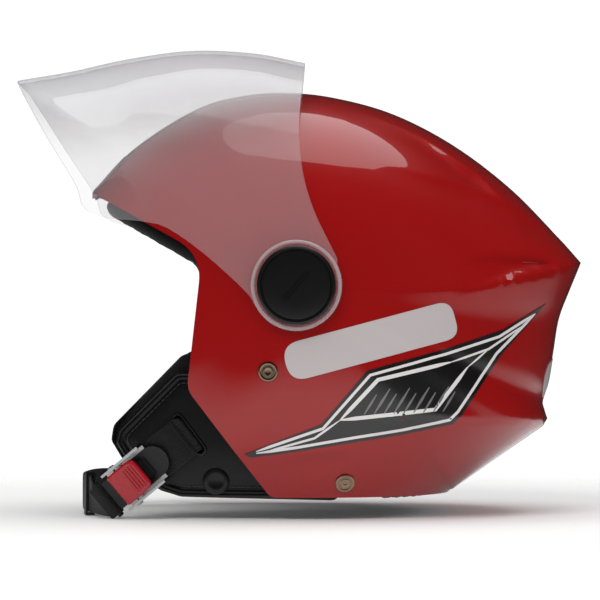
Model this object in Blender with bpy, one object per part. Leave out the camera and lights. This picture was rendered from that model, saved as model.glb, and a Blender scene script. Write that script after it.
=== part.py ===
"""Open face motorcycle helmet with a clear tilting visor and a ratchet chin buckle.

Units are metres, +Z is up.  The face opening looks along -X and the wearer's left
side is -Y.  The origin is at the middle of the footprint, on the ground.
Shape points are written on a design grid of thousandths of a metre, measured from
the middle of the head (X) and from the rim plane (Z), and stretch with the overall sizes.
"""
import math

import bmesh
import bpy
import numpy as np
from mathutils import Matrix, Vector
from mathutils.bvhtree import BVHTree

# ---- driving dimensions -------------------------------------------------------------
SHELL_LENGTH = 0.280
SHELL_HALF_WIDTH = 0.1165
SHELL_HEIGHT = 0.2275
SHELL_WALL = 0.0035
RIM_HEIGHT = 0.0121
FOAM_GAP = 0.0048
HEAD_LENGTH = 0.203
HEAD_WIDTH = 0.154
LINING = 0.0065
LINING_GAP = 0.0040
STICKER_LIFT = 0.0015
FIT = 0.0004

PIVOT_BORE = 0.0030
BASE_RADIUS = 0.0205
BASE_THICK = 0.0016
VISOR_WALL = 0.0020
VISOR_BOSS = 0.0250
CAP_RADIUS = 0.0215
CAP_THICK = 0.0034
NUT_RADIUS = 0.0080
NUT_THICK = 0.0030
WASHER_RADIUS = 0.0100
WASHER_THICK = 0.0008

RIVET_RADIUS = 0.0053
RIVET_BORE = 0.0022
FOIL = 0.0005
REFLECTOR_LONG = 0.096
REFLECTOR_TALL = 0.021

PAD_INNER = 0.053
PAD_OUTER = 0.085
PANEL_THICK = 0.0030
WEB_ROOM = 0.0030
STUD_RADIUS = 0.0072

WEB_WIDTH = 0.0235
WEB_THICK = 0.0016
STRAP_DROP = math.radians(40.0)
STRAP_REACH = 0.0745
STRAP_BEND = (0.0520, 0.0580)
BUCKLE_AT = 0.0380
KEEPER_AT = 0.0690
STRAP_HALF_SPAN = 0.0930

GRID_X = SHELL_LENGTH / 280.0
GRID_Y = SHELL_HALF_WIDTH / 116.5
GRID_Z = SHELL_HEIGHT / 227.5
POWER = 2.3
PIVOT = (-2.0, 117.0)
HUB = (-2.0, 135.0)


def wx(x):
    """World X of a design-grid length."""
    return x * GRID_X


def wz(z):
    """World Z of a design-grid height above the rim plane."""
    return RIM_HEIGHT + z * GRID_Z


# ---- materials and mesh helpers -----------------------------------------------------
def material(name, rgb, roughness, metallic=0.0, alpha=1.0):
    made = bpy.data.materials.get(name)
    if made:
        return made
    made = bpy.data.materials.new(name)
    made.use_nodes = True
    shader = made.node_tree.nodes["Principled BSDF"]
    shader.inputs["Base Color"].default_value = (*rgb, 1.0)
    shader.inputs["Roughness"].default_value = roughness
    shader.inputs["Metallic"].default_value = metallic
    shader.inputs["Alpha"].default_value = alpha
    return made


def place(name, verts, faces, mat, parent=None, at=None, sharp=40.0):
    """Object from world-space points, with its origin at the point given."""
    origin = Vector(at) if at is not None else Vector((0.0, 0.0, 0.0))
    mesh = bpy.data.meshes.new(name)
    mesh.from_pydata([tuple(Vector(v) - origin) for v in verts], [], faces)
    work = bmesh.new()
    work.from_mesh(mesh)
    bmesh.ops.remove_doubles(work, verts=work.verts, dist=1e-6)
    bmesh.ops.recalc_face_normals(work, faces=work.faces)
    work.to_mesh(mesh)
    work.free()
    mesh.materials.append(mat)
    mesh.shade_smooth()
    mesh.set_sharp_from_angle(angle=math.radians(sharp))
    obj = bpy.data.objects.new(name, mesh)
    bpy.context.scene.collection.objects.link(obj)
    obj.location = origin
    if parent is not None:
        obj.parent = parent
        obj.matrix_parent_inverse = Matrix.Translation(-parent.location)
    return obj


def joint_frame(name, at):
    """Empty that carries a moving body, on its joint axis."""
    empty = bpy.data.objects.new(name, None)
    empty.location = at
    bpy.context.scene.collection.objects.link(empty)
    return empty


def turned(profile, origin, axis, steps=32):
    """Solid of revolution: (radius, height) pairs along an axis, ends closed on it."""
    axis = Vector(axis).normalized()
    side = axis.orthogonal().normalized()
    over = axis.cross(side)
    origin = Vector(origin)
    verts = []
    rings = []
    for radius, height in profile:
        middle = origin + axis * height
        if radius < 1e-7:
            rings.append([len(verts)])
            verts.append(middle)
            continue
        ring = []
        for k in range(steps):
            a = 2 * math.pi * k / steps
            ring.append(len(verts))
            verts.append(middle + side * radius * math.cos(a) + over * radius * math.sin(a))
        rings.append(ring)
    faces = []
    for one, two in zip(rings, rings[1:]):
        for k in range(steps):
            j = (k + 1) % steps
            if len(one) == 1:
                faces.append((one[0], two[k], two[j]))
            elif len(two) == 1:
                faces.append((one[k], two[0], one[j]))
            else:
                faces.append((one[k], two[k], two[j], one[j]))
    return verts, faces


def swept(path, widths, heights, ups, steps=12):
    """Closed soft bar: elliptical sections along a path, rounded to points at both ends."""
    verts = []
    faces = []
    count = len(path)
    for i, point in enumerate(path):
        before = path[max(i - 1, 0)]
        after = path[min(i + 1, count - 1)]
        along = (Vector(after) - Vector(before)).normalized()
        up = Vector(ups[i])
        up = (up - along * up.dot(along)).normalized()
        across = along.cross(up)
        for k in range(steps):
            a = 2 * math.pi * k / steps
            offset = across * widths[i] * math.cos(a) + up * heights[i] * math.sin(a)
            verts.append(Vector(point) + offset)
    for i in range(count - 1):
        for k in range(steps):
            j = (k + 1) % steps
            faces.append((i * steps + k, i * steps + j, (i + 1) * steps + j, (i + 1) * steps + k))
    faces.append(tuple(range(steps)))
    faces.append(tuple((count - 1) * steps + k for k in range(steps)))
    return verts, faces


def block(frame, sizes, centre):
    """Box in a local frame (three unit vectors), with its centre and full sizes."""
    verts = []
    for a in (-0.5, 0.5):
        for b in (-0.5, 0.5):
            for c in (-0.5, 0.5):
                verts.append(centre + frame[0] * sizes[0] * a + frame[1] * sizes[1] * b
                             + frame[2] * sizes[2] * c)
    faces = [(0, 1, 3, 2), (4, 6, 7, 5), (0, 4, 5, 1), (2, 3, 7, 6), (0, 2, 6, 4), (1, 5, 7, 3)]
    return verts, faces


def rounded(points, radii, steps=5):
    """Closed outline with its corners rounded to the radii given."""
    outline = []
    count = len(points)
    for i, corner in enumerate(points):
        c = Vector(corner)
        if radii[i] <= 0.0:
            outline.append(tuple(c))
            continue
        one = (Vector(points[i - 1]) - c)
        two = (Vector(points[(i + 1) % count]) - c)
        half = one.angle(two) / 2
        reach = min(radii[i] / math.tan(half), one.length * 0.49, two.length * 0.49)
        start = c + one.normalized() * reach
        stop = c + two.normalized() * reach
        for k in range(steps + 1):
            t = k / steps
            outline.append(tuple(start * (1 - t) ** 2 + c * 2 * t * (1 - t) + stop * t ** 2))
    return outline


def flow(points, count):
    """Even points along a smooth curve through the points given."""
    pts = np.array(points, dtype=float)
    ends = np.vstack([2 * pts[0] - pts[1], pts, 2 * pts[-1] - pts[-2]])
    fine = []
    for i in range(1, len(ends) - 2):
        p0, p1, p2, p3 = ends[i - 1:i + 3]
        for t in np.linspace(0.0, 1.0, 24, endpoint=False):
            fine.append(0.5 * (2 * p1 + (p2 - p0) * t + (2 * p0 - 5 * p1 + 4 * p2 - p3) * t ** 2
                               + (3 * p1 - p0 - 3 * p2 + p3) * t ** 3))
    fine.append(pts[-1])
    fine = np.array(fine)
    length = np.concatenate([[0.0], np.cumsum(np.linalg.norm(np.diff(fine, axis=0), axis=1))])
    wanted = np.linspace(0.0, length[-1], count)
    return np.stack([np.interp(wanted, length, fine[:, k]) for k in range(pts.shape[1])], axis=1)


# ---- the outer form -----------------------------------------------------------------
# Side silhouette on the design grid, in three smooth runs that meet at the tail tip
# and at the lower lip.
CROWN_LINE = [(-119, 170.5), (-95, 195.6), (-60.4, 217.7), (-34.5, 225.6), (-10, 227.6), (17.3, 225.2),
              (51.8, 216), (86.3, 198.7), (120.8, 174), (146.6, 148.1), (161, 130.3)]
BACK_LINE = [(161, 130.3), (154.1, 114.8), (148.6, 100), (145.5, 80.3), (142.6, 63), (139.2, 51), (142, 41)]
BASE_LINE = [(142, 41), (141, 20), (120, -45), (0, -58), (-70, -60), (-110, 20), (-122, 90), (-122, 140),
             (-119, 170.5)]
# The wall turns inwards below the lower lip: reach and half width at the rim plane,
# and how much each grows per unit of height.
TUCK_REACH = (86.0, 1.436)
TUCK_WIDTH = (93.0, 0.46)


def silhouette_table():
    """Radius of the side silhouette about the pivot, against the angle."""
    angles = []
    radii = []
    for run in (CROWN_LINE, BACK_LINE, BASE_LINE):
        line = flow(run, 160)
        d = line - np.array(PIVOT)
        angles.append(np.arctan2(d[:, 1], d[:, 0]))
        radii.append(np.hypot(d[:, 0], d[:, 1]))
    angle = np.unwrap(np.concatenate(angles))
    radius = np.concatenate(radii)
    order = np.argsort(angle, kind="stable")
    return angle[order], radius[order]


SIL_ANGLE, SIL_RADIUS = silhouette_table()
TAIL_ANGLE = math.atan2(CROWN_LINE[-1][1] - PIVOT[1], CROWN_LINE[-1][0] - PIVOT[0])
TAIL_SWEEP = math.radians(12.6)


def silhouette(angle):
    lowest = SIL_ANGLE[0]
    wrapped = np.mod(np.asarray(angle) - lowest, 2 * math.pi) + lowest
    return np.interp(wrapped, SIL_ANGLE, SIL_RADIUS)


def form(x, y, z):
    """Signed form of the helmet on the design grid: negative inside, 0 on the surface."""
    dx = x - PIVOT[0]
    dz = z - PIVOT[1]
    r = np.hypot(dx, dz) + 1e-9
    angle = np.arctan2(dz, dx)
    near_tail = np.exp(-((angle - TAIL_ANGLE) / 0.42) ** 2)
    fade = np.clip(1.0 - r / 163.0, 0.0, 1.0)
    edge = silhouette(angle + TAIL_SWEEP * fade * near_tail)
    egg = (r / edge) ** POWER + (np.abs(y) / 116.5) ** POWER - 1.0
    reach = TUCK_REACH[0] + np.maximum(z, -20.0) * TUCK_REACH[1]
    width = TUCK_WIDTH[0] + np.maximum(z, -20.0) * TUCK_WIDTH[1]
    tuck = (np.maximum(x, 0.0) / reach) ** POWER + (np.abs(y) / width) ** POWER - 1.0
    return np.maximum(egg, tuck)


def side_y(x, z):
    """Half width of the form at a point of the side view, on the design grid."""
    low = np.zeros_like(np.asarray(x, dtype=float))
    high = low + 117.0
    for _ in range(34):
        mid = (low + high) / 2
        inside = form(x, mid, z) < 0
        low = np.where(inside, mid, low)
        high = np.where(inside, high, mid)
    return low


def edge_distance(outline, angle):
    """Distance from the hub to a closed outline in one direction."""
    best = 1e9
    c = math.cos(angle)
    s = math.sin(angle)
    for (ax, az), (bx, bz) in zip(outline, outline[1:] + outline[:1]):
        ux, uz = bx - ax, bz - az
        det = c * -uz + s * ux
        if abs(det) < 1e-12:
            continue
        px, pz = ax - HUB[0], az - HUB[1]
        t = (px * -uz + pz * ux) / det
        k = (c * pz - s * px) / det
        if t > 0 and -1e-6 <= k <= 1 + 1e-6:
            best = min(best, t)
    return best


def skin(outline, spokes, rows):
    """Both halves of the form inside a side-view outline, as one sheet.

    The sheet is a fan about the hub on each side. Rows are evenly spaced along each
    spoke, and a spoke that reaches the silhouette meets its mirror image there.
    """
    left = []
    hub_y = float(side_y(np.array([HUB[0]]), np.array([HUB[1]]))[0])
    columns = []
    for angle in spokes:
        limit = edge_distance(outline, angle)
        reach = np.linspace(0.0, 260.0, 1500)
        x = HUB[0] + reach * math.cos(angle)
        z = HUB[1] + reach * math.sin(angle)
        outside = np.nonzero(form(x, 0.0 * x, z) > 0)[0]
        far = reach[outside[0]]
        joined = limit >= far - 0.5
        end = far if joined else limit
        t = end * np.sin(np.linspace(0.0, math.pi / 2, 500))
        x = HUB[0] + t * math.cos(angle)
        z = HUB[1] + t * math.sin(angle)
        y = side_y(x, z)
        if joined:
            y[-1] = 0.0
        run = np.concatenate([[0.0], np.cumsum(np.sqrt(np.diff(x) ** 2 + np.diff(y) ** 2 + np.diff(z) ** 2))])
        wanted = np.linspace(0.0, run[-1], rows + 1)[1:]
        columns.append((joined, [(np.interp(w, run, x), np.interp(w, run, y), np.interp(w, run, z))
                                 for w in wanted]))
    verts = [(HUB[0], -hub_y, HUB[1]), (HUB[0], hub_y, HUB[1])]
    index = {}
    for side in (0, 1):
        sign = -1.0 if side == 0 else 1.0
        for i, (joined, column) in enumerate(columns):
            for k, (x, y, z) in enumerate(column):
                if joined and k == rows - 1 and side == 1:
                    index[side, i, k] = index[0, i, k]
                    continue
                index[side, i, k] = len(verts)
                verts.append((x, sign * y, z))
    faces = []
    count = len(columns)
    for side in (0, 1):
        for i in range(count):
            j = (i + 1) % count
            fan = (side, index[side, i, 0], index[side, j, 0])
            faces.append(fan if side == 0 else fan[::-1])
            for k in range(rows - 1):
                quad = (index[side, i, k], index[side, i, k + 1], index[side, j, k + 1], index[side, j, k])
                faces.append(quad if side == 0 else quad[::-1])
    world = [Vector((wx(x), y * GRID_Y, wz(z))) for x, y, z in verts]
    return world, faces


def normals_of(verts, faces):
    mesh = bpy.data.meshes.new("sheet")
    mesh.from_pydata(verts, [], faces)
    work = bmesh.new()
    work.from_mesh(mesh)
    work.normal_update()
    work.verts.ensure_lookup_table()
    found = [v.normal.copy() for v in work.verts]
    work.free()
    bpy.data.meshes.remove(mesh)
    return found


def inset_copy(verts, faces, depth):
    """The sheet moved inwards by a depth."""
    return [v - n * depth for v, n in zip(verts, normals_of(verts, faces))]


def walled(outer, inner, faces):
    """Closed wall between a sheet and its inner copy."""
    n = len(outer)
    edges = {}
    for face in faces:
        for a, b in zip(face, face[1:] + face[:1]):
            edges[a, b] = edges.get((a, b), 0) + 1
    every = list(faces)
    every += [tuple(n + i for i in reversed(face)) for face in faces]
    for a, b in edges:
        if (b, a) not in edges:
            every.append((b, a, n + a, n + b))
    return list(outer) + list(inner), every


def brow_marks(tip, corner):
    """Points close together near the brow tip, where the wall turns round the forehead."""
    return [(tip[0] + (corner[0] - tip[0]) * t, tip[1] + (corner[1] - tip[1]) * t)
            for t in (0.0, 0.035, 0.10, 0.20, 0.34, 0.50)]


def spokes_through(marks, count):
    """Spoke angles: one to each marked point, with an even spread between them."""
    marked = [math.atan2(z - HUB[1], x - HUB[0]) % (2 * math.pi) for x, z in marks]
    pitch = 2 * math.pi / count
    even = [pitch * k for k in range(count)]

    def clear_of_marks(angle):
        return all(abs((angle - m + math.pi) % (2 * math.pi) - math.pi) > 0.45 * pitch for m in marked)

    return sorted([a for a in even if clear_of_marks(a)] + marked)


# ---- shell --------------------------------------------------------------------------
BROW_TIP = (-119.0, 170.5)
OPENING = [BROW_TIP, (-53.5, 134.0), (-62.0, 60.0), (-16.0, 0.0)]
OPENING_RADII = [0.0, 24.0, 12.0, 6.0]
BEHIND = [(220.0, 0.0), (220.0, 300.0), (-119.0, 300.0)]


def opening_outline():
    """Side-view outline of the shell: the face opening, the rim and everything behind."""
    points = OPENING + BEHIND
    radii = OPENING_RADII + [0.0, 0.0, 0.0]
    return rounded(points, radii)


def outer_shell(red):
    outline = opening_outline()
    marks = brow_marks(BROW_TIP, OPENING[1]) + [(161, 130.3), (142, 41), (88, 0.0), (-17.5, 1.0), (-61, 60)]
    verts, faces = skin(outline, spokes_through(marks, 46), 11)
    inner = inset_copy(verts, faces, SHELL_WALL)
    whole, every = walled(verts, inner, faces)
    shell = place("outer_shell", whole, every, red, sharp=50.0)
    cutters = [("pivot_bore", PIVOT, PIVOT_BORE)]
    cutters += [("upper_bore", UPPER_RIVET, RIVET_BORE), ("lower_bore", LOWER_RIVET, RIVET_BORE)]
    for name, (x, z), radius in cutters:
        wide = SHELL_HALF_WIDTH * 1.2
        bore_verts, bore_faces = turned([(0, -wide), (radius + FIT, -wide), (radius + FIT, wide), (0, wide)],
                                        (wx(x), 0.0, wz(z)), (0, 1, 0), 24)
        cutter = place(name, bore_verts, bore_faces, red)
        cutter.hide_render = True
        cutter.display_type = "WIRE"
        cut = shell.modifiers.new(name, "BOOLEAN")
        cut.operation = "DIFFERENCE"
        cut.object = cutter
    return verts, faces


UPPER_RIVET = (-17.4, 70.0)
LOWER_RIVET = (24.7, 8.5)


def shell_ray(tree, x, z, side):
    """Point and outward direction on the shell at a side-view point."""
    start = Vector((wx(x), side * 0.3, wz(z)))
    hit, normal, _, _ = tree.ray_cast(start, Vector((0.0, -side, 0.0)))
    if normal.y * side < 0:
        normal = -normal
    return hit, normal


# ---- inside -------------------------------------------------------------------------
HEAD_CENTRE = (0.0, 0.0, 108.0)
HEAD_TOP = 192.0
HEAD_BELOW = 150.0


def head_form(direction, thickness):
    """Distance from the head's centre to the head form grown by a thickness."""
    lx = HEAD_LENGTH / 2 + thickness
    ly = HEAD_WIDTH / 2 + thickness
    up = (HEAD_TOP - HEAD_CENTRE[2]) * GRID_Z + thickness
    down = HEAD_BELOW * GRID_Z + thickness
    lz = up if direction.z > 0 else down
    p = 2.2
    total = abs(direction.x / lx) ** p + abs(direction.y / ly) ** p + abs(direction.z / lz) ** p
    return total ** (-1.0 / p)


def on_head(verts, thickness):
    centre = Vector((wx(HEAD_CENTRE[0]), 0.0, wz(HEAD_CENTRE[2])))
    moved = []
    for v in verts:
        d = (Vector(v) - centre).normalized()
        moved.append(centre + d * head_form(d, thickness))
    return moved


FOAM_OUTLINE = [(-108, 183.0), (-98, 175.0), (-46, 146.0), (-41, 114.0), (-43, 88.0), (-6, 81.0), (34, 25.0),
                (220.0, 25.0), (220.0, 300.0), (-108, 300.0)]
LINING_OUTLINE = [(-100, 173.0), (-44, 144.0), (-39, 115.0), (-40, 92.0), (-2, 85.0), (38, 31.0), (220.0, 31.0),
                  (220.0, 300.0), (-100, 300.0)]


def foam_and_lining(foam, cloth):
    verts, faces = skin(FOAM_OUTLINE, spokes_through(brow_marks((-108, 183), (-46, 146)), 32), 8)
    outer = inset_copy(verts, faces, SHELL_WALL + FOAM_GAP)
    inner = on_head(outer, LINING + LINING_GAP)
    whole, every = walled(outer, inner, faces)
    foam_body = place("eps_liner", whole, every, foam)
    pocket_floor = SHELL_HALF_WIDTH - SHELL_WALL - NUT_THICK - WASHER_THICK - 0.0035
    for side in (-1, 1):
        profile = [(0, pocket_floor), (WASHER_RADIUS + 0.001, pocket_floor), (WASHER_RADIUS + 0.001, 0.2), (0, 0.2)]
        bore_verts, bore_faces = turned(profile, (wx(PIVOT[0]), 0.0, wz(PIVOT[1])), (0, side, 0), 20)
        cutter = place("nut_pocket", bore_verts, bore_faces, foam)
        cutter.hide_render = True
        cutter.display_type = "WIRE"
        cut = foam_body.modifiers.new("nut_pocket", "BOOLEAN")
        cut.operation = "DIFFERENCE"
        cut.object = cutter
    verts, faces = skin(LINING_OUTLINE, spokes_through(brow_marks((-100, 173), (-44, 144)), 24), 6)
    outer = on_head(verts, LINING)
    inner = on_head(verts, 0.0)
    whole, every = walled(outer, inner, faces)
    place("crown_lining", whole, every, cloth)


def brow_band(cloth):
    """Padded roll that follows the face opening just inside the shell's edge."""
    edge = rounded([(-117.0, 170.0), (-53.5, 134.0), (-60.0, 84.0)], [0.0, 22.0, 0.0])
    side = flow(edge, 90)
    points = []
    for x, z in side[::-1]:
        y = float(side_y(np.array([x]), np.array([z]))[0])
        points.append((x, -y, z))
    points[-1] = (-118.0, 0.0, 171.0)
    points = points + [(x, -y, z) for x, y, z in points[-2::-1]]
    smooth = flow(points, 27)
    centre = Vector((wx(-10.0), 0.0, wz(108.0)))
    path = []
    ups = []
    for x, y, z in smooth:
        p = Vector((wx(x), y * GRID_Y, wz(z)))
        inward = (centre - p).normalized()
        path.append(p + inward * 0.0150 + Vector((0.0, 0.0, -0.0020)))
        ups.append(inward)
    size = [0.0048] * len(path)
    for i, share in enumerate((0.45, 0.8)):
        size[i] *= share
        size[-1 - i] *= share
    verts, faces = swept(path, size, [s * 1.25 for s in size], ups, 10)
    place("brow_pad", verts, faces, cloth)


ROLL_GAP = (0.0100, 0.0115)


def neck_roll(cloth):
    """Padded roll round the neck, just inside the rim."""
    path = []
    ups = []
    for k in range(29):
        a = math.radians(-58 + 116 * k / 28)
        reach = (TUCK_REACH[0] + TUCK_REACH[1]) * GRID_X - SHELL_WALL - ROLL_GAP[0]
        half = (TUCK_WIDTH[0] + TUCK_WIDTH[1]) * GRID_Y - SHELL_WALL - ROLL_GAP[1]
        c = math.cos(a)
        s = math.sin(a)
        x = reach * abs(c) ** (2 / POWER)
        y = half * math.copysign(abs(s) ** (2 / POWER), s)
        path.append(Vector((x, y, wz(7.0))))
        ups.append(Vector((0, 0, 1)))
    size = [0.0062] * len(path)
    for i, share in enumerate((0.45, 0.8)):
        size[i] *= share
        size[-1 - i] *= share
    verts, faces = swept(path, size, [s * 1.35 for s in size], ups, 10)
    place("neck_roll", verts, faces, cloth)


# ---- cheek pads ---------------------------------------------------------------------
PAD_OUTLINE = [(-58, 81), (-66, 78), (-103.7, 39.5), (-105, 31.0), (-99, 21.0), (-78, 3.0), (-66, -0.5),
               (20, -2.5), (26, 8.0), (2, 60.0), (-12, 78.0)]
PAD_RADII = [8, 5, 7, 4, 6, 8, 10, 4, 4, 6, 6]
PANEL_OUTLINE = [(-52, 68), (-68, 68), (-100, 36.0), (-101, 30.0), (-95.5, 21.5), (-76, 4.5), (-66, 1.2),
                 (0, 0.5), (-43, 51.0)]
PANEL_RADII = [5, 5, 6, 4, 6, 8, 10, 3, 8]
STUD_AT = (-46.4, 9.0)
SLIT_AT = (-62.0, 35.5)


def pad_face(x, z, lift):
    """Outer face of the cheek pad: flat under the shell, turning in towards the chin."""
    turn = np.maximum(-35.0 - x, 0.0)
    under = np.maximum(30.0 - z, 0.0)
    return PAD_OUTER * (1.0 - 0.000034 * turn ** 2 - 0.00004 * under ** 2) + lift


def slab(name, outline, low, high, mat, side, step=9.0, bevel=0.0015):
    """Side-view outline made solid between two faces, cut into strips so it can curve."""
    work = bmesh.new()
    ring = [work.verts.new((x, 0.0, z)) for x, z in outline]
    work.faces.new(ring)
    for axis, k in (("x", 0), ("z", 2)):
        values = [v.co[k] for v in work.verts]
        cut = min(values) + step * 0.6
        while cut < max(values) - step * 0.35:
            point = Vector((cut, 0, 0)) if axis == "x" else Vector((0, 0, cut))
            normal = Vector((1, 0, 0)) if axis == "x" else Vector((0, 0, 1))
            geometry = work.verts[:] + work.edges[:] + work.faces[:]
            bmesh.ops.bisect_plane(work, geom=geometry, plane_co=point, plane_no=normal, dist=0.4)
            cut += step
    work.verts.index_update()
    flat = [(v.co.x, v.co.z) for v in work.verts]
    faces = [tuple(v.index for v in f.verts) for f in work.faces]
    work.free()
    outer = [Vector((wx(x), side * float(high(x, z)), wz(z))) for x, z in flat]
    inner = [Vector((wx(x), side * float(low(x, z)), wz(z))) for x, z in flat]
    whole, every = walled(outer, inner, faces)
    obj = place(name, whole, every, mat)
    if bevel:
        edge = obj.modifiers.new("edge", "BEVEL")
        edge.width = bevel
        edge.segments = 1
        edge.angle_limit = math.radians(50)
    return obj


def cheek_pads(side, tag, vinyl, cloth, steel):
    def inside(x, z):
        return PAD_INNER + 0.00012 * max(-60.0 - x, 0.0)

    slab("cheek_pad_" + tag, rounded(PAD_OUTLINE, PAD_RADII, 3), inside,
         lambda x, z: pad_face(x, z, -WEB_ROOM), cloth, side, 16.0, 0.003)
    slab("cheek_panel_" + tag, rounded(PANEL_OUTLINE, PANEL_RADII, 3),
         lambda x, z: pad_face(x, z, FIT), lambda x, z: pad_face(x, z, FIT + PANEL_THICK),
         vinyl, side, 16.0, 0.0)
    x, z = STUD_AT
    y = float(pad_face(x, z, FIT + PANEL_THICK + FIT))
    profile = [(0, 0.0002), (STUD_RADIUS, 0.0002), (STUD_RADIUS * 0.96, 0.0012), (STUD_RADIUS * 0.7, 0.0022),
               (0, 0.0027)]
    verts, faces = turned(profile, (wx(x), side * y, wz(z)), (0, side, -0.03), 20)
    place("cheek_stud_" + tag, verts, faces, steel)


# ---- visor and its pivots -----------------------------------------------------------
VISOR_CROWN = [(2.9, 245.0), (-27, 250.6), (-63, 252.0), (-100, 247.0), (-132, 240.0), (-162, 235.0)]
VISOR_REAR = [(0.5, 220), (-0.6, 204), (0.2, 188), (2.8, 173), (7.5, 158), (14, 144), (20, 132)]
VISOR_FRONT = [(-141, 200), (-124, 173), (-119, 160), (-108, 154.5), (-86, 152), (-72, 148), (-52, 134), (-30, 114)]


def visor_radius(angle):
    line = flow(VISOR_CROWN, 80)
    d = line - np.array(PIVOT)
    a = np.arctan2(d[:, 1], d[:, 0])
    return np.interp(angle, a, np.hypot(d[:, 0], d[:, 1]))


def visor_sheet(rows, columns):
    """Visor sheet in its raised pose: rows climb from below the pivot to the middle line."""
    boss = VISOR_BOSS / GRID_X
    lean = math.radians(118.0)
    axis = np.array([math.cos(lean), math.sin(lean)])
    across = np.array([axis[1], -axis[0]])
    pivot = np.array(PIVOT)
    turns = np.linspace(-80.0, 0.0, 6)
    low_right = [pivot + boss * (axis * math.sin(math.radians(t)) + across * math.cos(math.radians(t)))
                 for t in turns]
    low_left = [pivot + boss * (axis * math.sin(math.radians(t)) - across * math.cos(math.radians(t)))
                for t in turns]
    right = np.vstack([low_right, VISOR_REAR[::-1], [VISOR_CROWN[0]]])
    left = np.vstack([low_left, VISOR_FRONT[::-1], [VISOR_CROWN[-1]]])
    head = flow(right[5:], rows + 1)
    tail = flow(left[5:], rows + 1)
    right = np.vstack([right[:5], head])
    left = np.vstack([left[:5], tail])
    points = []
    for r, l in zip(right, left):
        row = []
        dr = r - pivot
        dl = l - pivot
        ar = math.atan2(dr[1], dr[0])
        al = math.atan2(dl[1], dl[0])
        height = float(np.dot((r + l) / 2 - pivot, axis))
        blend = min(max(height / (boss * 1.6), 0.0), 1.0)
        share_r = np.hypot(*dr) / visor_radius(ar)
        share_l = np.hypot(*dl) / visor_radius(al)
        for k in range(columns + 1):
            u = k / columns
            chord = r * (1 - u) + l * u
            a = ar * (1 - u) + al * u
            share = share_r * (1 - u) + share_l * u
            if blend > 0:
                arc = pivot + share * visor_radius(a) * np.array([math.cos(a), math.sin(a)])
                chord = chord * (1 - blend) + arc * blend
            d = chord - pivot
            reach = np.hypot(*d)
            full = visor_radius(math.atan2(d[1], d[0])) if blend > 0 else 150.0
            level = min(reach / full, 1.0)
            flat = (boss / full) ** POWER
            fall = max(level ** POWER - flat, 0.0) / (1.0 - flat)
            y = (1.0 - fall) ** (1.0 / POWER)
            row.append((chord[0], y, chord[1]))
        points.append(row)
    for k in range(columns + 1):
        x, _, z = points[-1][k]
        points[-1][k] = (x, 0.0, z)
    return points


def visor_half_width():
    return SHELL_HALF_WIDTH + FIT + BASE_THICK + FIT + VISOR_WALL


def visor(clear, parent):
    rows, columns = 12, 9
    half = visor_half_width()
    points = visor_sheet(rows, columns)
    verts = []
    index = {}
    count = len(points)
    for side in (-1, 1):
        for i, row in enumerate(points):
            for k, (x, y, z) in enumerate(row):
                if side == 1 and i == count - 1:
                    index[side, i, k] = index[-1, i, k]
                    continue
                index[side, i, k] = len(verts)
                verts.append(Vector((wx(x), side * y * half, wz(z))))
    faces = []
    for side in (-1, 1):
        for i in range(count - 1):
            for k in range(columns):
                quad = (index[side, i, k], index[side, i + 1, k], index[side, i + 1, k + 1],
                        index[side, i, k + 1])
                faces.append(quad if side == -1 else quad[::-1])
    inner = inset_copy(verts, faces, VISOR_WALL)
    whole, every = walled(verts, inner, faces)
    at = (wx(PIVOT[0]), 0.0, wz(PIVOT[1]))
    sheet = place("visor", whole, every, clear, parent, at)
    bore_verts, bore_faces = turned([(0, -0.2), (NECK_RADIUS + FIT, -0.2), (NECK_RADIUS + FIT, 0.2), (0, 0.2)],
                                    at, (0, 1, 0), 24)
    cutter = place("visor_bore", bore_verts, bore_faces, clear, parent, at)
    cutter.hide_render = True
    cutter.display_type = "WIRE"
    cut = sheet.modifiers.new("bore", "BOOLEAN")
    cut.operation = "DIFFERENCE"
    cut.object = cutter
    return sheet


NECK_RADIUS = 0.0065


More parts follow.
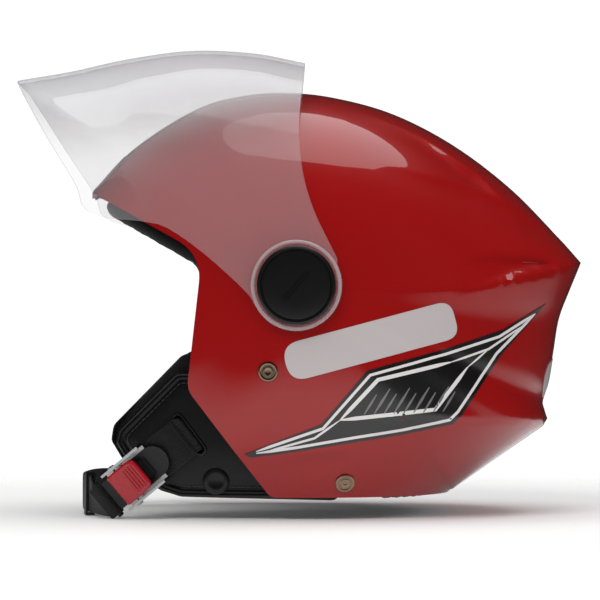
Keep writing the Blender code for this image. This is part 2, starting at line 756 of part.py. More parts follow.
def pivot_stack(side, tag, black, steel):
    """One visor pivot, from the inside out: nut, base plate with its neck, cap, screw."""
    x = wx(PIVOT[0])
    z = wz(PIVOT[1])
    axis = (0.0, side, 0.0)
    skin_y = SHELL_HALF_WIDTH
    base_top = skin_y + FIT + BASE_THICK
    neck_top = base_top + FIT + VISOR_WALL + FIT
    verts, faces = turned([(PIVOT_BORE, skin_y + FIT), (BASE_RADIUS, skin_y + FIT), (BASE_RADIUS, base_top),
                           (NECK_RADIUS, base_top), (NECK_RADIUS, neck_top), (PIVOT_BORE, neck_top),
                           (PIVOT_BORE, skin_y + FIT)], (x, 0, z), axis, 28)
    place("pivot_base_" + tag, verts, faces, black)
    cap_low = neck_top + FIT
    cap_high = cap_low + CAP_THICK
    verts, faces = turned([(0, cap_low), (CAP_RADIUS, cap_low), (CAP_RADIUS, cap_high - 0.0016),
                           (CAP_RADIUS - 0.0008, cap_high - 0.0004), (CAP_RADIUS * 0.90, cap_high),
                           (CAP_RADIUS * 0.86, cap_high - 0.0007), (CAP_RADIUS * 0.80, cap_high - 0.0002),
                           (0, cap_high)], (x, 0, z), axis, 32)
    place("pivot_cap_" + tag, verts, faces, black)
    inner_y = skin_y - SHELL_WALL
    bolt = PIVOT_BORE - FIT
    verts, faces = turned([(0, inner_y - NUT_THICK - 0.0015), (bolt, inner_y - NUT_THICK - 0.0015),
                           (bolt, cap_low - FIT), (0, cap_low - FIT)], (x, 0, z), axis, 24)
    place("pivot_screw_" + tag, verts, faces, steel)
    washer_top = inner_y - FIT
    washer_low = washer_top - WASHER_THICK
    verts, faces = turned([(PIVOT_BORE, washer_low), (WASHER_RADIUS, washer_low), (WASHER_RADIUS, washer_top),
                           (PIVOT_BORE, washer_top), (PIVOT_BORE, washer_low)], (x, 0, z), axis, 20)
    place("pivot_washer_" + tag, verts, faces, steel)
    nut_top = washer_low - FIT
    nut_low = inner_y - NUT_THICK - WASHER_THICK
    verts, faces = turned([(PIVOT_BORE * 1.2, nut_low), (NUT_RADIUS, nut_low), (NUT_RADIUS, nut_top),
                           (PIVOT_BORE * 1.2, nut_top), (PIVOT_BORE * 1.2, nut_low)], (x, 0, z), axis, 6)
    place("pivot_nut_" + tag, verts, faces, steel)


# ---- rivets, reflectors and decals --------------------------------------------------
def rivet(name, tree, at, side, brass, length):
    hit, normal = shell_ray(tree, at[0], at[1], side)
    y = abs(hit.y)
    lift = 0.0012
    profile = [(0, y - length), (RIVET_BORE, y - length), (RIVET_BORE, y + lift), (RIVET_RADIUS, y + lift),
               (RIVET_RADIUS, y + lift + 0.0008), (RIVET_RADIUS * 0.8, y + lift + 0.0016),
               (RIVET_RADIUS * 0.5, y + lift + 0.0018), (RIVET_RADIUS * 0.35, y + lift + 0.0011), (0, y + lift + 0.001)]
    verts, faces = turned(profile, (wx(at[0]), 0, wz(at[1])), (0, side, 0), 14)
    tilt = Vector((0, side, 0)).rotation_difference(normal)
    turn = Matrix.Translation(hit) @ tilt.to_matrix().to_4x4() @ Matrix.Translation(-hit)
    tilted = []
    for v in verts:
        out = (v.y * side) - y
        share = min(max(out / lift, 0.0), 1.0)
        tilted.append(v.lerp(turn @ v, share) if share > 0 else v)
    place(name, tilted, faces, brass)


def foil(name, tree, outline, side, mat, step=9.0):
    """Thin sticker that follows the shell inside a side-view outline."""
    def reach(x, z, lift):
        near = [(x, z), (x + 3, z), (x - 3, z), (x, z + 3), (x, z - 3)]
        hits = [shell_ray(tree, a, b, side) for a, b in near]
        return max(abs(hit.y) for hit, _ in hits) + lift / max(abs(hits[0][1].y), 0.35)

    slab(name, outline, lambda x, z: reach(x, z, STICKER_LIFT),
         lambda x, z: reach(x, z, STICKER_LIFT + FOIL), mat, side, step, 0.0)


def reflector_outline():
    middle = Vector((38.6, 86.5))
    along = Vector((math.cos(math.radians(14.9)), math.sin(math.radians(14.9))))
    up = Vector((-along.y, along.x))
    a = REFLECTOR_LONG / 2 / GRID_X
    b = REFLECTOR_TALL / 2 / GRID_Z
    corners = [(-a, -b), (a, -b), (a, b), (-a, b)]
    points = [tuple(middle + along * p + up * q) for p, q in corners]
    return rounded(points, [b * 0.96, b * 0.8, b * 0.8, b * 0.96], 6)


DART = [(-30.5, 24.5), (11.7, 41.0), (36.7, 70.5), (79.1, 82.0), (112, 92.5), (137.5, 107.0), (111, 78.5),
        (89, 46.0), (84, 41.0), (56.4, 35.5), (31.2, 31.5), (-2.8, 26.0), (-27, 22.8)]


def wrapped_foil(name, tree, angles, half_y, lift, mat, rows=6, columns=8):
    """Rounded sticker across the middle line of the shell, between two angles."""
    centre = Vector((0.0, 0.0, wz(100.0)))
    outer = []
    inner = []
    for i in range(rows + 1):
        for k in range(columns + 1):
            u = 2 * k / columns - 1
            v = 2 * i / rows - 1
            a = u * math.sqrt(1 - v * v * 0.42)
            b = v * math.sqrt(1 - u * u * 0.42)
            angle = math.radians(angles[0] + (angles[1] - angles[0]) * (b + 1) / 2)
            away = Vector((GRID_X * math.cos(angle), 0.0, GRID_Z * math.sin(angle)))
            start = centre + away * 400.0 + Vector((0.0, a * half_y, 0.0))
            ray = -away.normalized()
            hit, normal, _, _ = tree.ray_cast(start, ray)
            if normal.dot(ray) > 0:
                normal = -normal
            inner.append(hit + normal * lift)
            outer.append(hit + normal * (lift + FOIL))
    faces = []
    wide = columns + 1
    for i in range(rows):
        for k in range(columns):
            faces.append((i * wide + k, (i + 1) * wide + k, (i + 1) * wide + k + 1, i * wide + k + 1))
    whole, every = walled(outer, inner, faces)
    place(name, whole, every, mat)


# ---- chin strap ---------------------------------------------------------------------
STRAP_AXIS_AT = (wx(SLIT_AT[0]), 0.0, wz(SLIT_AT[1]))
WIDEWAYS = Vector((-math.sin(STRAP_DROP), 0.0, math.cos(STRAP_DROP)))
STRAP_START = 0.0030


def strap_slope(a):
    """Downward slope of the strap: steep as far as the buckle, then level under the chin."""
    share = (a - STRAP_BEND[0]) / (STRAP_BEND[1] - STRAP_BEND[0])
    return STRAP_DROP * (1.0 - min(max(share, 0.0), 1.0))


def strap_point(a, side):
    """Point of the strap's middle line at a forward reach, on one side."""
    steps = 120
    x, _, z = STRAP_AXIS_AT
    for k in range(steps):
        slope = strap_slope(a * (k + 0.5) / steps)
        x -= a / steps * math.cos(slope)
        z -= a / steps * math.sin(slope)
    share = min(a / STRAP_REACH, 1.0)
    y = STRAP_HALF_SPAN * (1.0 - share ** 2.5) ** (1 / 2.5)
    return Vector((x, side * y, z))


def strap_wide(a):
    """Direction of the webbing's width at a forward reach."""
    slope = strap_slope(a)
    return Vector((-math.sin(slope), 0.0, math.cos(slope)))


def band(path, width, thick, wide):
    """Flat webbing along a path; its width runs along one direction at every point."""
    outer = []
    inner = []
    count = len(path)
    for i, point in enumerate(path):
        along = (Vector(path[min(i + 1, count - 1)]) - Vector(path[max(i - 1, 0)])).normalized()
        w = wide[i] if isinstance(wide, list) else wide
        w = (w - along * w.dot(along)).normalized()
        off = along.cross(w)
        wd = width[i] if isinstance(width, list) else width
        for k in (-0.5, 0.5):
            outer.append(Vector(point) + w * wd * k + off * thick / 2)
            inner.append(Vector(point) + w * wd * k - off * thick / 2)
    faces = [(2 * i, 2 * i + 1, 2 * i + 3, 2 * i + 2) for i in range(count - 1)]
    return walled(outer, inner, faces)


def buckle_frame_axes():
    middle = strap_point(BUCKLE_AT, -1)
    along = strap_point(BUCKLE_AT + 0.006, -1) - strap_point(BUCKLE_AT - 0.020, -1)
    toward = along.normalized()
    out = toward.cross(WIDEWAYS).normalized()
    if out.y > 0:
        out = -out
    return middle, toward, out


def chin_strap(web, steel, red, black, parent_swing, parent_lever, parent_tongue):
    middle, u, n = buckle_frame_axes()
    w = WIDEWAYS
    at_swing = STRAP_AXIS_AT

    def local(a, b, c):
        return middle + u * a + w * b + n * c

    # near arm of webbing, from the slit to the buckle's end bar
    path = [strap_point(STRAP_START, -1), strap_point(0.010, -1), local(-0.0210, 0, -0.0036),
            local(-0.0165, 0, -0.0045), local(-0.0080, 0, -0.0046)]
    verts, faces = band([tuple(p) for p in flow([tuple(p) for p in path], 7)], WEB_WIDTH, WEB_THICK, w)
    place("strap_near", verts, faces, web, parent_swing, at_swing)

    # steel channel: a floor with two side rails and an end bar
    rail_out = 0.0126
    rail_in = 0.0112
    floor_low = -0.0032
    floor_high = -0.0022
    rail_high = 0.0052
    long_low = -0.0145
    long_high = 0.0135
    profile = [(-rail_out, rail_high), (-rail_out, floor_low), (rail_out, floor_low), (rail_out, rail_high),
               (rail_in, rail_high), (rail_in, floor_high), (-rail_in, floor_high), (-rail_in, rail_high)]
    front = [local(long_high, b, c) for b, c in profile]
    back = [local(long_low, b, c) for b, c in profile]
    faces = [tuple(range(8)), tuple(range(15, 7, -1))]
    for k in range(8):
        j = (k + 1) % 8
        faces.append((k, 8 + k, 8 + j, j))
    place("buckle_frame", front + back, faces, steel, parent_swing, at_swing)

    # hinge pin between the rails
    pin_at = local(0.0060, 0.0, 0.0036)
    verts, faces = turned([(0, -rail_in + FIT), (0.0011, -rail_in + FIT), (0.0011, rail_in - FIT), (0, rail_in - FIT)],
                          pin_at, w, 16)
    place("buckle_pin", verts, faces, steel, parent_swing, at_swing)

    # lever: a rounded plate over the channel with a round eye on the pin
    lever_low = 0.0056
    half = 0.0098
    outline = rounded([(-0.0085, -half), (0.0105, -half), (0.0105, half), (-0.0085, half)],
                      [0.0045, 0.0015, 0.0015, 0.0045], 4)
    top = [local(a, b, 0.0) for a, b in outline]
    count = len(top)
    low = [p + n * lever_low for p in top]
    shoulder = [p + n * (lever_low + 0.0022) for p in top]
    centre = local(0.001, 0.0, lever_low + 0.0032)
    crown = [(p + n * (lever_low + 0.0032)).lerp(centre, 0.10) for p in top]
    verts = low + shoulder + crown
    faces = [tuple(range(count - 1, -1, -1)), tuple(range(2 * count, 3 * count))]
    for ring in (0, 1):
        for k in range(count):
            j = (k + 1) % count
            faces.append((ring * count + k, ring * count + j, (ring + 1) * count + j, (ring + 1) * count + k))
    place("buckle_lever", verts, faces, red, parent_lever, tuple(pin_at))

    # toothed tongue: passes through the channel and ends in a round tip over the near arm
    low_c = -0.0018
    high_c = 0.0002
    tip = -0.0235
    root = 0.0185
    half = 0.0090
    outline = [(root, -half), (root, half)]
    for k in range(9):
        a = math.radians(90 + 180 * k / 8)
        outline.append((tip + half + half * math.cos(a), half * math.sin(a)))
    lowers = [local(a, b, low_c) for a, b in outline]
    uppers = [local(a, b, high_c) for a, b in outline]
    count = len(outline)
    faces = [tuple(range(count)), tuple(range(2 * count - 1, count - 1, -1))]
    for k in range(count):
        j = (k + 1) % count
        faces.append((k, count + k, count + j, j))
    place("buckle_tongue", lowers + uppers, faces, black, parent_tongue, tuple(local(root, 0, 0)))

    # teeth strip on the tongue
    teeth = []
    pitch = 0.0022
    count = 8
    for i in range(count):
        a = -0.0120 + pitch * i
        teeth.append((a, high_c + FIT + 0.0003))
        teeth.append((a + pitch * 0.75, high_c + FIT + 0.0014))
    teeth.append((-0.0120 + pitch * count, high_c + FIT + 0.0003))
    lower = [(-0.0120 + pitch * count, high_c + FIT), (-0.0120, high_c + FIT)]
    section = teeth + lower
    total = len(section)
    one = [local(a, -0.0055, c) for a, c in section]
    two = [local(a, 0.0055, c) for a, c in section]
    faces = [tuple(range(total)), tuple(range(2 * total - 1, total - 1, -1))]
    for k in range(total):
        j = (k + 1) % total
        faces.append((k, total + k, total + j, j))
    place("tongue_teeth", one + two, faces, black, parent_tongue, tuple(local(root, 0, 0)))

    # slider bar that the far webbing loops round
    frame3 = (u, w, n)
    verts, faces = block(frame3, (0.0028, WEB_WIDTH, 0.0036), local(0.0215, 0.0, -0.0008))
    slider = place("strap_slider", verts, faces, black, parent_tongue, tuple(local(root, 0, 0)))
    edge = slider.modifiers.new("edge", "BEVEL")
    edge.width = 0.0008
    edge.segments = 2

    # far webbing: round the front and back to the slit on the other side
    start = local(0.0252, 0.0, -0.0008)
    points = [(*start, STRAP_DROP)]
    for a, at in ((KEEPER_AT, -1), (0.0725, -1), (STRAP_REACH, 1), (0.0725, 1), (0.068, 1), (0.058, 1),
                  (0.047, 1), (0.028, 1), (0.014, 1), (STRAP_START, 1)):
        points.append((*strap_point(a, at), strap_slope(a)))
    run = flow(points, 30)
    wide = [Vector((-math.sin(slope), 0.0, math.cos(slope))) for slope in run[:, 3]]
    verts, faces = band([tuple(p) for p in run[:, :3]], WEB_WIDTH * 0.86, WEB_THICK, wide)
    place("strap_far", verts, faces, web, parent_swing, at_swing)

    # keeper loop round the far webbing, just ahead of the slider
    at = strap_point(KEEPER_AT, -1)
    spot = int(np.argmin(np.linalg.norm(run[:, :3] - np.array(at), axis=1)))
    along = Vector(run[spot + 1, :3] - run[spot - 1, :3]).normalized()
    w = strap_wide(KEEPER_AT)
    w = (w - along * w.dot(along)).normalized()
    off = along.cross(w).normalized()
    outer_w = WEB_WIDTH * 0.86 / 2 + 0.0018
    inner_w = WEB_WIDTH * 0.86 / 2 + 0.0006
    outer_t = WEB_THICK / 2 + 0.0018
    inner_t = WEB_THICK / 2 + 0.0006
    rings = []
    for half_w, half_t, step in ((outer_w, outer_t, -0.002), (outer_w, outer_t, 0.002),
                                 (inner_w, inner_t, 0.002), (inner_w, inner_t, -0.002)):
        rings.append([at + along * step + w * half_w * p + off * half_t * q
                      for p, q in ((-1, -1), (1, -1), (1, 1), (-1, 1))])
    verts = [p for ring in rings for p in ring]
    faces = []
    for i in range(4):
        j = (i + 1) % 4
        for k in range(4):
            m = (k + 1) % 4
            faces.append((i * 4 + k, i * 4 + m, j * 4 + m, j * 4 + k))
    place("strap_keeper", verts, faces, black, parent_swing, at_swing)


def strap_inside(side, tag, tree, web, steel):
    """Anchor plate on the upper rivet and the webbing that runs from it to the slit."""
    hit, _ = shell_ray(tree, UPPER_RIVET[0], UPPER_RIVET[1], side)
    y = abs(hit.y) - SHELL_WALL - 0.0040
    x, z = wx(UPPER_RIVET[0]), wz(UPPER_RIVET[1])
    down = Vector((wx(SLIT_AT[0]) - x, 0.0, wz(SLIT_AT[1]) - z)).normalized()
    wide = Vector((down.z, 0.0, -down.x))
    out = Vector((0.0, side, 0.0))
    verts, faces = turned([(RIVET_BORE + FIT, y), (0.0085, y), (0.0085, y + 0.0012), (RIVET_BORE + FIT, y + 0.0012),
                           (RIVET_BORE + FIT, y)], (x, 0, z), (0, side, 0), 20)
    place("strap_anchor_" + tag, verts, faces, steel)
    start = Vector((x, side * (y - 0.0020), z)) + down * 0.0105
    under = float(pad_face(SLIT_AT[0], SLIT_AT[1], -WEB_ROOM / 2 + FIT / 2))
    path = [tuple(start), (wx(-31), side * (start.y * side * 0.4 + under * 0.6), wz(57.5))]
    for gx, gz in ((-36, 54.5), (-43, 50.0), (-49, 45.5)):
        path.append((wx(gx), side * float(pad_face(gx, gz, -WEB_ROOM / 2 + FIT / 2)), wz(gz)))
    verts, faces = band([tuple(p) for p in flow(path, 9)], WEB_WIDTH * 0.8, WEB_THICK, wide)
    place("strap_inner_" + tag, verts, faces, web)


# ---- build --------------------------------------------------------------------------
def build():
    for old in list(bpy.data.objects):
        bpy.data.objects.remove(old, do_unlink=True)
    red = material("red_gloss", (0.40, 0.004, 0.006), 0.10)
    foam = material("foam_black", (0.02, 0.02, 0.02), 0.9)
    cloth = material("lining_cloth", (0.012, 0.012, 0.013), 0.85)
    vinyl = material("pad_vinyl", (0.008, 0.008, 0.008), 0.45)
    black = material("black_plastic", (0.01, 0.01, 0.01), 0.35)
    clear = material("clear_visor", (0.92, 0.92, 0.92), 0.03, 0.0, 0.25)
    steel = material("steel", (0.5, 0.5, 0.5), 0.3, 1.0)
    brass = material("aged_brass", (0.35, 0.26, 0.17), 0.35, 1.0)
    web = material("webbing", (0.009, 0.009, 0.009), 0.8)
    lever_red = material("lever_red", (0.33, 0.004, 0.012), 0.3)
    silver = material("reflective_film", (0.45, 0.42, 0.42), 0.35)
    print_black = material("decal_film", (0.02, 0.018, 0.02), 0.3)

    skin_verts, skin_faces = outer_shell(red)
    tree = BVHTree.FromPolygons(skin_verts, skin_faces)
    foam_and_lining(foam, cloth)
    brow_band(cloth)
    neck_roll(cloth)

    pivot_at = (wx(PIVOT[0]), 0.0, wz(PIVOT[1]))
    visor(clear, joint_frame("visor_tilt", pivot_at))
    for side, tag in ((-1, "left"), (1, "right")):
        pivot_stack(side, tag, black, steel)
        cheek_pads(side, tag, vinyl, cloth, black)
        rivet("rivet_upper_" + tag, tree, UPPER_RIVET, side, brass, SHELL_WALL + 0.0052)
        rivet("rivet_lower_" + tag, tree, LOWER_RIVET, side, brass, SHELL_WALL + 0.0020)
        foil("reflector_" + tag, tree, reflector_outline(), side, silver)
        foil("decal_" + tag, tree, DART, side, print_black, 8.0)
        strap_inside(side, tag, tree, web, steel)
    wrapped_foil("reflector_front", tree, (137.5, 147.5), 0.026, FIT, silver)
    wrapped_foil("reflector_rear", tree, (-19.0, -9.5), 0.036, STICKER_LIFT, silver)

    swing = joint_frame("chin_strap_swing", STRAP_AXIS_AT)
    middle, u, n = buckle_frame_axes()
    lever = joint_frame("buckle_lever_hinge", middle + u * 0.0060 + n * 0.0036)
    tongue = joint_frame("buckle_tongue_slide", middle + u * 0.0185)
    chin_strap(web, steel, lever_red, black, swing, lever, tongue)


build()
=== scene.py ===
"""Open face motorcycle helmet: the fine surfaces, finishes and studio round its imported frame."""

import math

import bmesh
import bpy
import numpy as np
from mathutils import Matrix, Vector
from mathutils.bvhtree import BVHTree

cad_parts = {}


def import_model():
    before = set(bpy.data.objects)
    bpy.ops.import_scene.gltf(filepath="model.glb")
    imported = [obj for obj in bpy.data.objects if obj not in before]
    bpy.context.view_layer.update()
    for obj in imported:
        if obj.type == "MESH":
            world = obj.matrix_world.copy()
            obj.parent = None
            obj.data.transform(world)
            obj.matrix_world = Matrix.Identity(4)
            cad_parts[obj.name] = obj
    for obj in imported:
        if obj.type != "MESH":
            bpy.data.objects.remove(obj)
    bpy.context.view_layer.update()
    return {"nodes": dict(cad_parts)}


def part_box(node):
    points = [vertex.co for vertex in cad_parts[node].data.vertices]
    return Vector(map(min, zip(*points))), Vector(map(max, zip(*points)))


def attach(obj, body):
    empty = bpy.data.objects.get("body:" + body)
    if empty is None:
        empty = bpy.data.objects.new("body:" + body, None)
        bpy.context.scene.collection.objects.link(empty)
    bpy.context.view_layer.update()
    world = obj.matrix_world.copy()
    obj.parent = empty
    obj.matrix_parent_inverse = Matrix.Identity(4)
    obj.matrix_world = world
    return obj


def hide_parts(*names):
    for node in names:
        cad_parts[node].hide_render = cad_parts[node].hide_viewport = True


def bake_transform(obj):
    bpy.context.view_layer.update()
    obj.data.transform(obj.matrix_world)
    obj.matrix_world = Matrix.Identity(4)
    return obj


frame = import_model()

# ============================================================
# Outer shell. Injection moulded ABS, 3.5 mm thick, sprayed red under clear lacquer.
# One smooth skin: a raised crown band runs back to a pointed tail, and the wall turns
# inwards below a lower lip. Its edge is left square with a small round.
# ============================================================
# Side-view points are (x, z) in millimetres, with z from the rim plane. Walls, films and
# radii of turned parts are in metres.
PIVOT = (-2.0, 117.0)
HUB = (-2.0, 135.0)
RIM = 12.1
HALF_WIDTH = 116.5
SHELL_WALL = 0.0035
SHELL_ROUND = 0.0009
POWER = 2.3
BROW_TIP = (-119.0, 170.5)
CROWN_LINE = [(-119, 170.5), (-95, 195.6), (-60.4, 217.7), (-34.5, 225.6), (-10, 227.6), (17.3, 225.2),
              (51.8, 216), (86.3, 198.7), (120.8, 174), (146.6, 148.1), (161, 130.3)]
BACK_LINE = [(161, 130.3), (154.1, 114.8), (148.6, 100), (145.5, 80.3), (142.6, 63), (139.2, 51), (142, 41)]
BASE_LINE = [(142, 41), (141, 20), (120, -45), (0, -58), (-70, -60), (-110, 20), (-122, 90), (-122, 140),
             (-119, 170.5)]
OPENING = [BROW_TIP, (-53.5, 134.0), (-62.0, 60.0), (-16.0, 0.0), (220.0, 0.0), (220.0, 300.0),
           (-119.0, 300.0)]
OPENING_RADII = [0.0, 24.0, 12.0, 6.0, 0.0, 0.0, 0.0]
CREASES = {
    "crown_band": ([(10, 224.0), (24, 217.0), (44, 210.5), (68, 200.5), (90, 185.5), (102, 177.0),
                    (112, 166.0),
                    (134, 138.0)], 7.0, 55.0, 0.020, (26.0, 84.0), (122.0, 96.0)),
    "side_crease": ([(30, 190.0), (44.5, 184.5), (65, 179.5), (89, 174.0), (110.5, 166.0), (120, 161.0),
                     (139, 150.0)], 7.0, 42.0, 0.014, (42.0, 92.0), (156.0, 128.0)),
    "lower_swage": ([(-40, 14.5), (-30, 17.0), (-1.5, 24.0), (30.5, 27.5), (55.5, 31.5), (91, 36.5),
                     (133, 43.0),
                     (150, 45.0)], 7.0, 60.0, 0.011, (-34.0, 0.0), (170.0, 150.0)),
}
WEDGE_TOP = [(84.0, 131.0), (107.5, 133.0), (144.0, 131.0), (160.0, 130.6)]
WEDGE_LOW = [(84.0, 111.0), (101.5, 116.5), (127.0, 124.7), (153.0, 130.6), (160.0, 130.6)]
WEDGE_DEPTH = 0.020
WEDGE_EDGES = (3.5, 5.0)
WEDGE_RUN = 30.0
MIDDLE_FADE = (4.0, 30.0)
TAIL_SPREAD = 0.42
TAIL_RADIUS = 163.0
TAIL_TURN = math.radians(12.6)
TUCK_FLOOR = -20.0
TUCK_REACH = (86.0, 1.436)
TUCK_WIDTH = (93.0, 0.46)


def world(x, y, z):
    """Metres from the design grid: thousandths, with heights from the rim plane."""
    return Vector((x / 1000, y / 1000, (z + RIM) / 1000))


def run_of(points):
    """Length along a line of points, up to each of them."""
    return np.concatenate([[0.0], np.cumsum(np.linalg.norm(np.diff(points, axis=0), axis=1))])


def flow(points, count):
    """Even points along a smooth curve through the points given."""
    pts = np.array(points, dtype=float)
    ends = np.vstack([2 * pts[0] - pts[1], pts, 2 * pts[-1] - pts[-2]])
    fine = []
    for i in range(1, len(ends) - 2):
        p0, p1, p2, p3 = ends[i - 1:i + 3]
        for t in np.linspace(0.0, 1.0, 24, endpoint=False):
            fine.append(0.5 * (2 * p1 + (p2 - p0) * t + (2 * p0 - 5 * p1 + 4 * p2 - p3) * t ** 2
                               + (3 * p1 - p0 - 3 * p2 + p3) * t ** 3))
    fine.append(pts[-1])
    fine = np.array(fine)
    run = run_of(fine)
    wanted = np.linspace(0.0, run[-1], count)
    return np.stack([np.interp(wanted, run, fine[:, k]) for k in range(pts.shape[1])], axis=1)


def rounded(points, radii, steps=8):
    """Closed outline with its corners rounded."""
    outline = []
    for i, corner in enumerate(points):
        c = Vector(corner)
        if radii[i] <= 0.0:
            outline.append(tuple(c))
            continue
        one = Vector(points[i - 1]) - c
        two = Vector(points[(i + 1) % len(points)]) - c
        reach = min(radii[i] / math.tan(one.angle(two) / 2), one.length * 0.49, two.length * 0.49)
        start = c + one.normalized() * reach
        stop = c + two.normalized() * reach
        for k in range(steps + 1):
            t = k / steps
            outline.append(tuple(start * (1 - t) ** 2 + c * 2 * t * (1 - t) + stop * t ** 2))
    return outline


def silhouette_table():
    """Radius of the side view's outline about the pivot, by rising angle."""
    angles = []
    radii = []
    for run in (CROWN_LINE, BACK_LINE, BASE_LINE):
        d = flow(run, 300) - np.array(PIVOT)
        angles.append(np.arctan2(d[:, 1], d[:, 0]))
        radii.append(np.hypot(d[:, 0], d[:, 1]))
    angle = np.unwrap(np.concatenate(angles))
    order = np.argsort(angle, kind="stable")
    return angle[order], np.concatenate(radii)[order]


SIL_ANGLE, SIL_RADIUS = silhouette_table()
TAIL_ANGLE = math.atan2(CROWN_LINE[-1][1] - PIVOT[1], CROWN_LINE[-1][0] - PIVOT[0])
CREASE_LINES = {key: flow(row[0], 60) for key, row in CREASES.items()}


def eased(share):
    """0 to 1, quick at first and soft at the end."""
    share = np.clip(share, 0.0, 1.0)
    return 1.0 - (1.0 - share) ** 2


def inset(x, z):
    """Share by which the wall is drawn in below its crease lines and under the tail."""
    total = 0.0
    for key, (_, width, back, depth, fore, aft) in CREASES.items():
        line = CREASE_LINES[key]
        below = np.interp(x, line[:, 0], line[:, 1]) - z
        fade = np.clip(1.0 - (below - width) / back, 0.0, 1.0) ** 1.5
        run_in = np.clip((x - fore[0]) / (fore[1] - fore[0]), 0.0, 1.0)
        run_out = np.clip((x - aft[0]) / (aft[1] - aft[0]), 0.0, 1.0)
        total = total + depth * eased(below / width) * fade * run_in * run_out
    top = np.interp(x, [p[0] for p in WEDGE_TOP], [p[1] for p in WEDGE_TOP])
    low = np.interp(x, [p[0] for p in WEDGE_LOW], [p[1] for p in WEDGE_LOW])
    run_in = np.clip((x - WEDGE_TOP[0][0]) / WEDGE_RUN, 0.0, 1.0)
    wedge = eased((top - z) / WEDGE_EDGES[0]) * eased((z - low) / WEDGE_EDGES[1]) * run_in
    return total + WEDGE_DEPTH * wedge


def form(x, y, z):
    """Negative inside the helmet's outer form, 0 on its surface."""
    dx = x - PIVOT[0]
    dz = z - PIVOT[1]
    r = np.hypot(dx, dz) + 1e-9
    angle = np.arctan2(dz, dx)
    near_tail = np.exp(-((angle - TAIL_ANGLE) / TAIL_SPREAD) ** 2)
    fade = np.clip(1.0 - r / TAIL_RADIUS, 0.0, 1.0)
    turned = angle + TAIL_TURN * fade * near_tail
    turned = np.mod(turned - SIL_ANGLE[0], 2 * math.pi) + SIL_ANGLE[0]
    edge = np.interp(turned, SIL_ANGLE, SIL_RADIUS)
    step = 1.0 + inset(x, z) * np.clip((np.abs(y) - MIDDLE_FADE[0]) / MIDDLE_FADE[1], 0.0, 1.0)
    egg = (r * step / edge) ** POWER + (np.abs(y) * step / HALF_WIDTH) ** POWER - 1.0
    height = np.maximum(z, TUCK_FLOOR)
    reach = TUCK_REACH[0] + height * TUCK_REACH[1]
    width = TUCK_WIDTH[0] + height * TUCK_WIDTH[1]
    tuck = (np.maximum(x, 0.0) / reach) ** POWER + (np.abs(y) / width) ** POWER - 1.0
    return np.maximum(egg, tuck)


def side_y(x, z):
    """Half width of the form at points of the side view."""
    low = np.zeros_like(np.asarray(x, dtype=float))
    high = low + 118.0
    for _ in range(36):
        mid = (low + high) / 2
        inside = form(x, mid, z) < 0
        low = np.where(inside, mid, low)
        high = np.where(inside, high, mid)
    return low


def edge_distance(outline, angle):
    """Distance from the hub to a side-view outline, along an angle."""
    best = 1e9
    c = math.cos(angle)
    s = math.sin(angle)
    for (ax, az), (bx, bz) in zip(outline, outline[1:] + outline[:1]):
        ux, uz = bx - ax, bz - az
        det = c * -uz + s * ux
        if abs(det) < 1e-12:
            continue
        px, pz = ax - HUB[0], az - HUB[1]
        t = (px * -uz + pz * ux) / det
        k = (c * pz - s * px) / det
        if t > 0 and -1e-6 <= k <= 1 + 1e-6:
            best = min(best, t)
    return best


def skin(outline, tip, corner, spokes, rows):
    """Both halves of the form inside a side-view outline, as one open sheet."""
    marks = [(tip[0] + (corner[0] - tip[0]) * t, tip[1] + (corner[1] - tip[1]) * t)
             for t in np.linspace(0.0, 1.0, 22) ** 2]
    marks += [CROWN_LINE[-1], BACK_LINE[-1], (88, 0.0), (-17.5, 1.0), (-61, 60)]
    marked = [math.atan2(z - HUB[1], x - HUB[0]) % (2 * math.pi) for x, z in marks]
    pitch = 2 * math.pi / spokes
    even = [pitch * k for k in range(spokes)]
    even = [a for a in even
            if all(abs((a - m + math.pi) % (2 * math.pi) - math.pi) > 0.45 * pitch for m in marked)]
    columns = []
    for angle in sorted(even + marked):
        limit = edge_distance(outline, angle)
        reach = np.linspace(0.0, 260.0, 2600)
        x = HUB[0] + reach * math.cos(angle)
        z = HUB[1] + reach * math.sin(angle)
        far = reach[np.nonzero(form(x, 0.0 * x, z) > 0)[0][0]]
        joined = limit >= far - 0.5
        end = far if joined else limit
        t = end * np.sin(np.linspace(0.0, math.pi / 2, 420))
        x = HUB[0] + t * math.cos(angle)
        z = HUB[1] + t * math.sin(angle)
        y = side_y(x, z)
        if joined:
            y[-1] = 0.0
        run = run_of(np.stack([x, y, z], axis=1))
        wanted = np.linspace(0.0, run[-1], rows + 1)[1:]
        columns.append((joined, *[np.interp(wanted, run, values) for values in (x, y, z)]))
    hub_y = float(side_y(np.array([HUB[0]]), np.array([HUB[1]]))[0])
    verts = [world(HUB[0], -hub_y, HUB[1]), world(HUB[0], hub_y, HUB[1])]
    index = {}
    for side in (0, 1):
        sign = -1.0 if side == 0 else 1.0
        for i, (joined, xs, ys, zs) in enumerate(columns):
            for k in range(rows):
                if joined and k == rows - 1 and side == 1:
                    index[side, i, k] = index[0, i, k]
                    continue
                index[side, i, k] = len(verts)
                verts.append(world(xs[k], sign * ys[k], zs[k]))
    faces = []
    for side in (0, 1):
        for i in range(len(columns)):
            j = (i + 1) % len(columns)
            fan = (side, index[side, i, 0], index[side, j, 0])
            faces.append(fan if side == 0 else fan[::-1])
            for k in range(rows - 1):
                quad = (index[side, i, k], index[side, i, k + 1], index[side, j, k + 1], index[side, j, k])
                faces.append(quad if side == 0 else quad[::-1])
    return verts, faces


def normals_of(verts, faces):
    """Outward direction at each point of an open sheet."""
    mesh = bpy.data.meshes.new("sheet")
    mesh.from_pydata(verts, [], faces)
    found = [Vector(n.vector) for n in mesh.vertex_normals]
    bpy.data.meshes.remove(mesh)
    return found


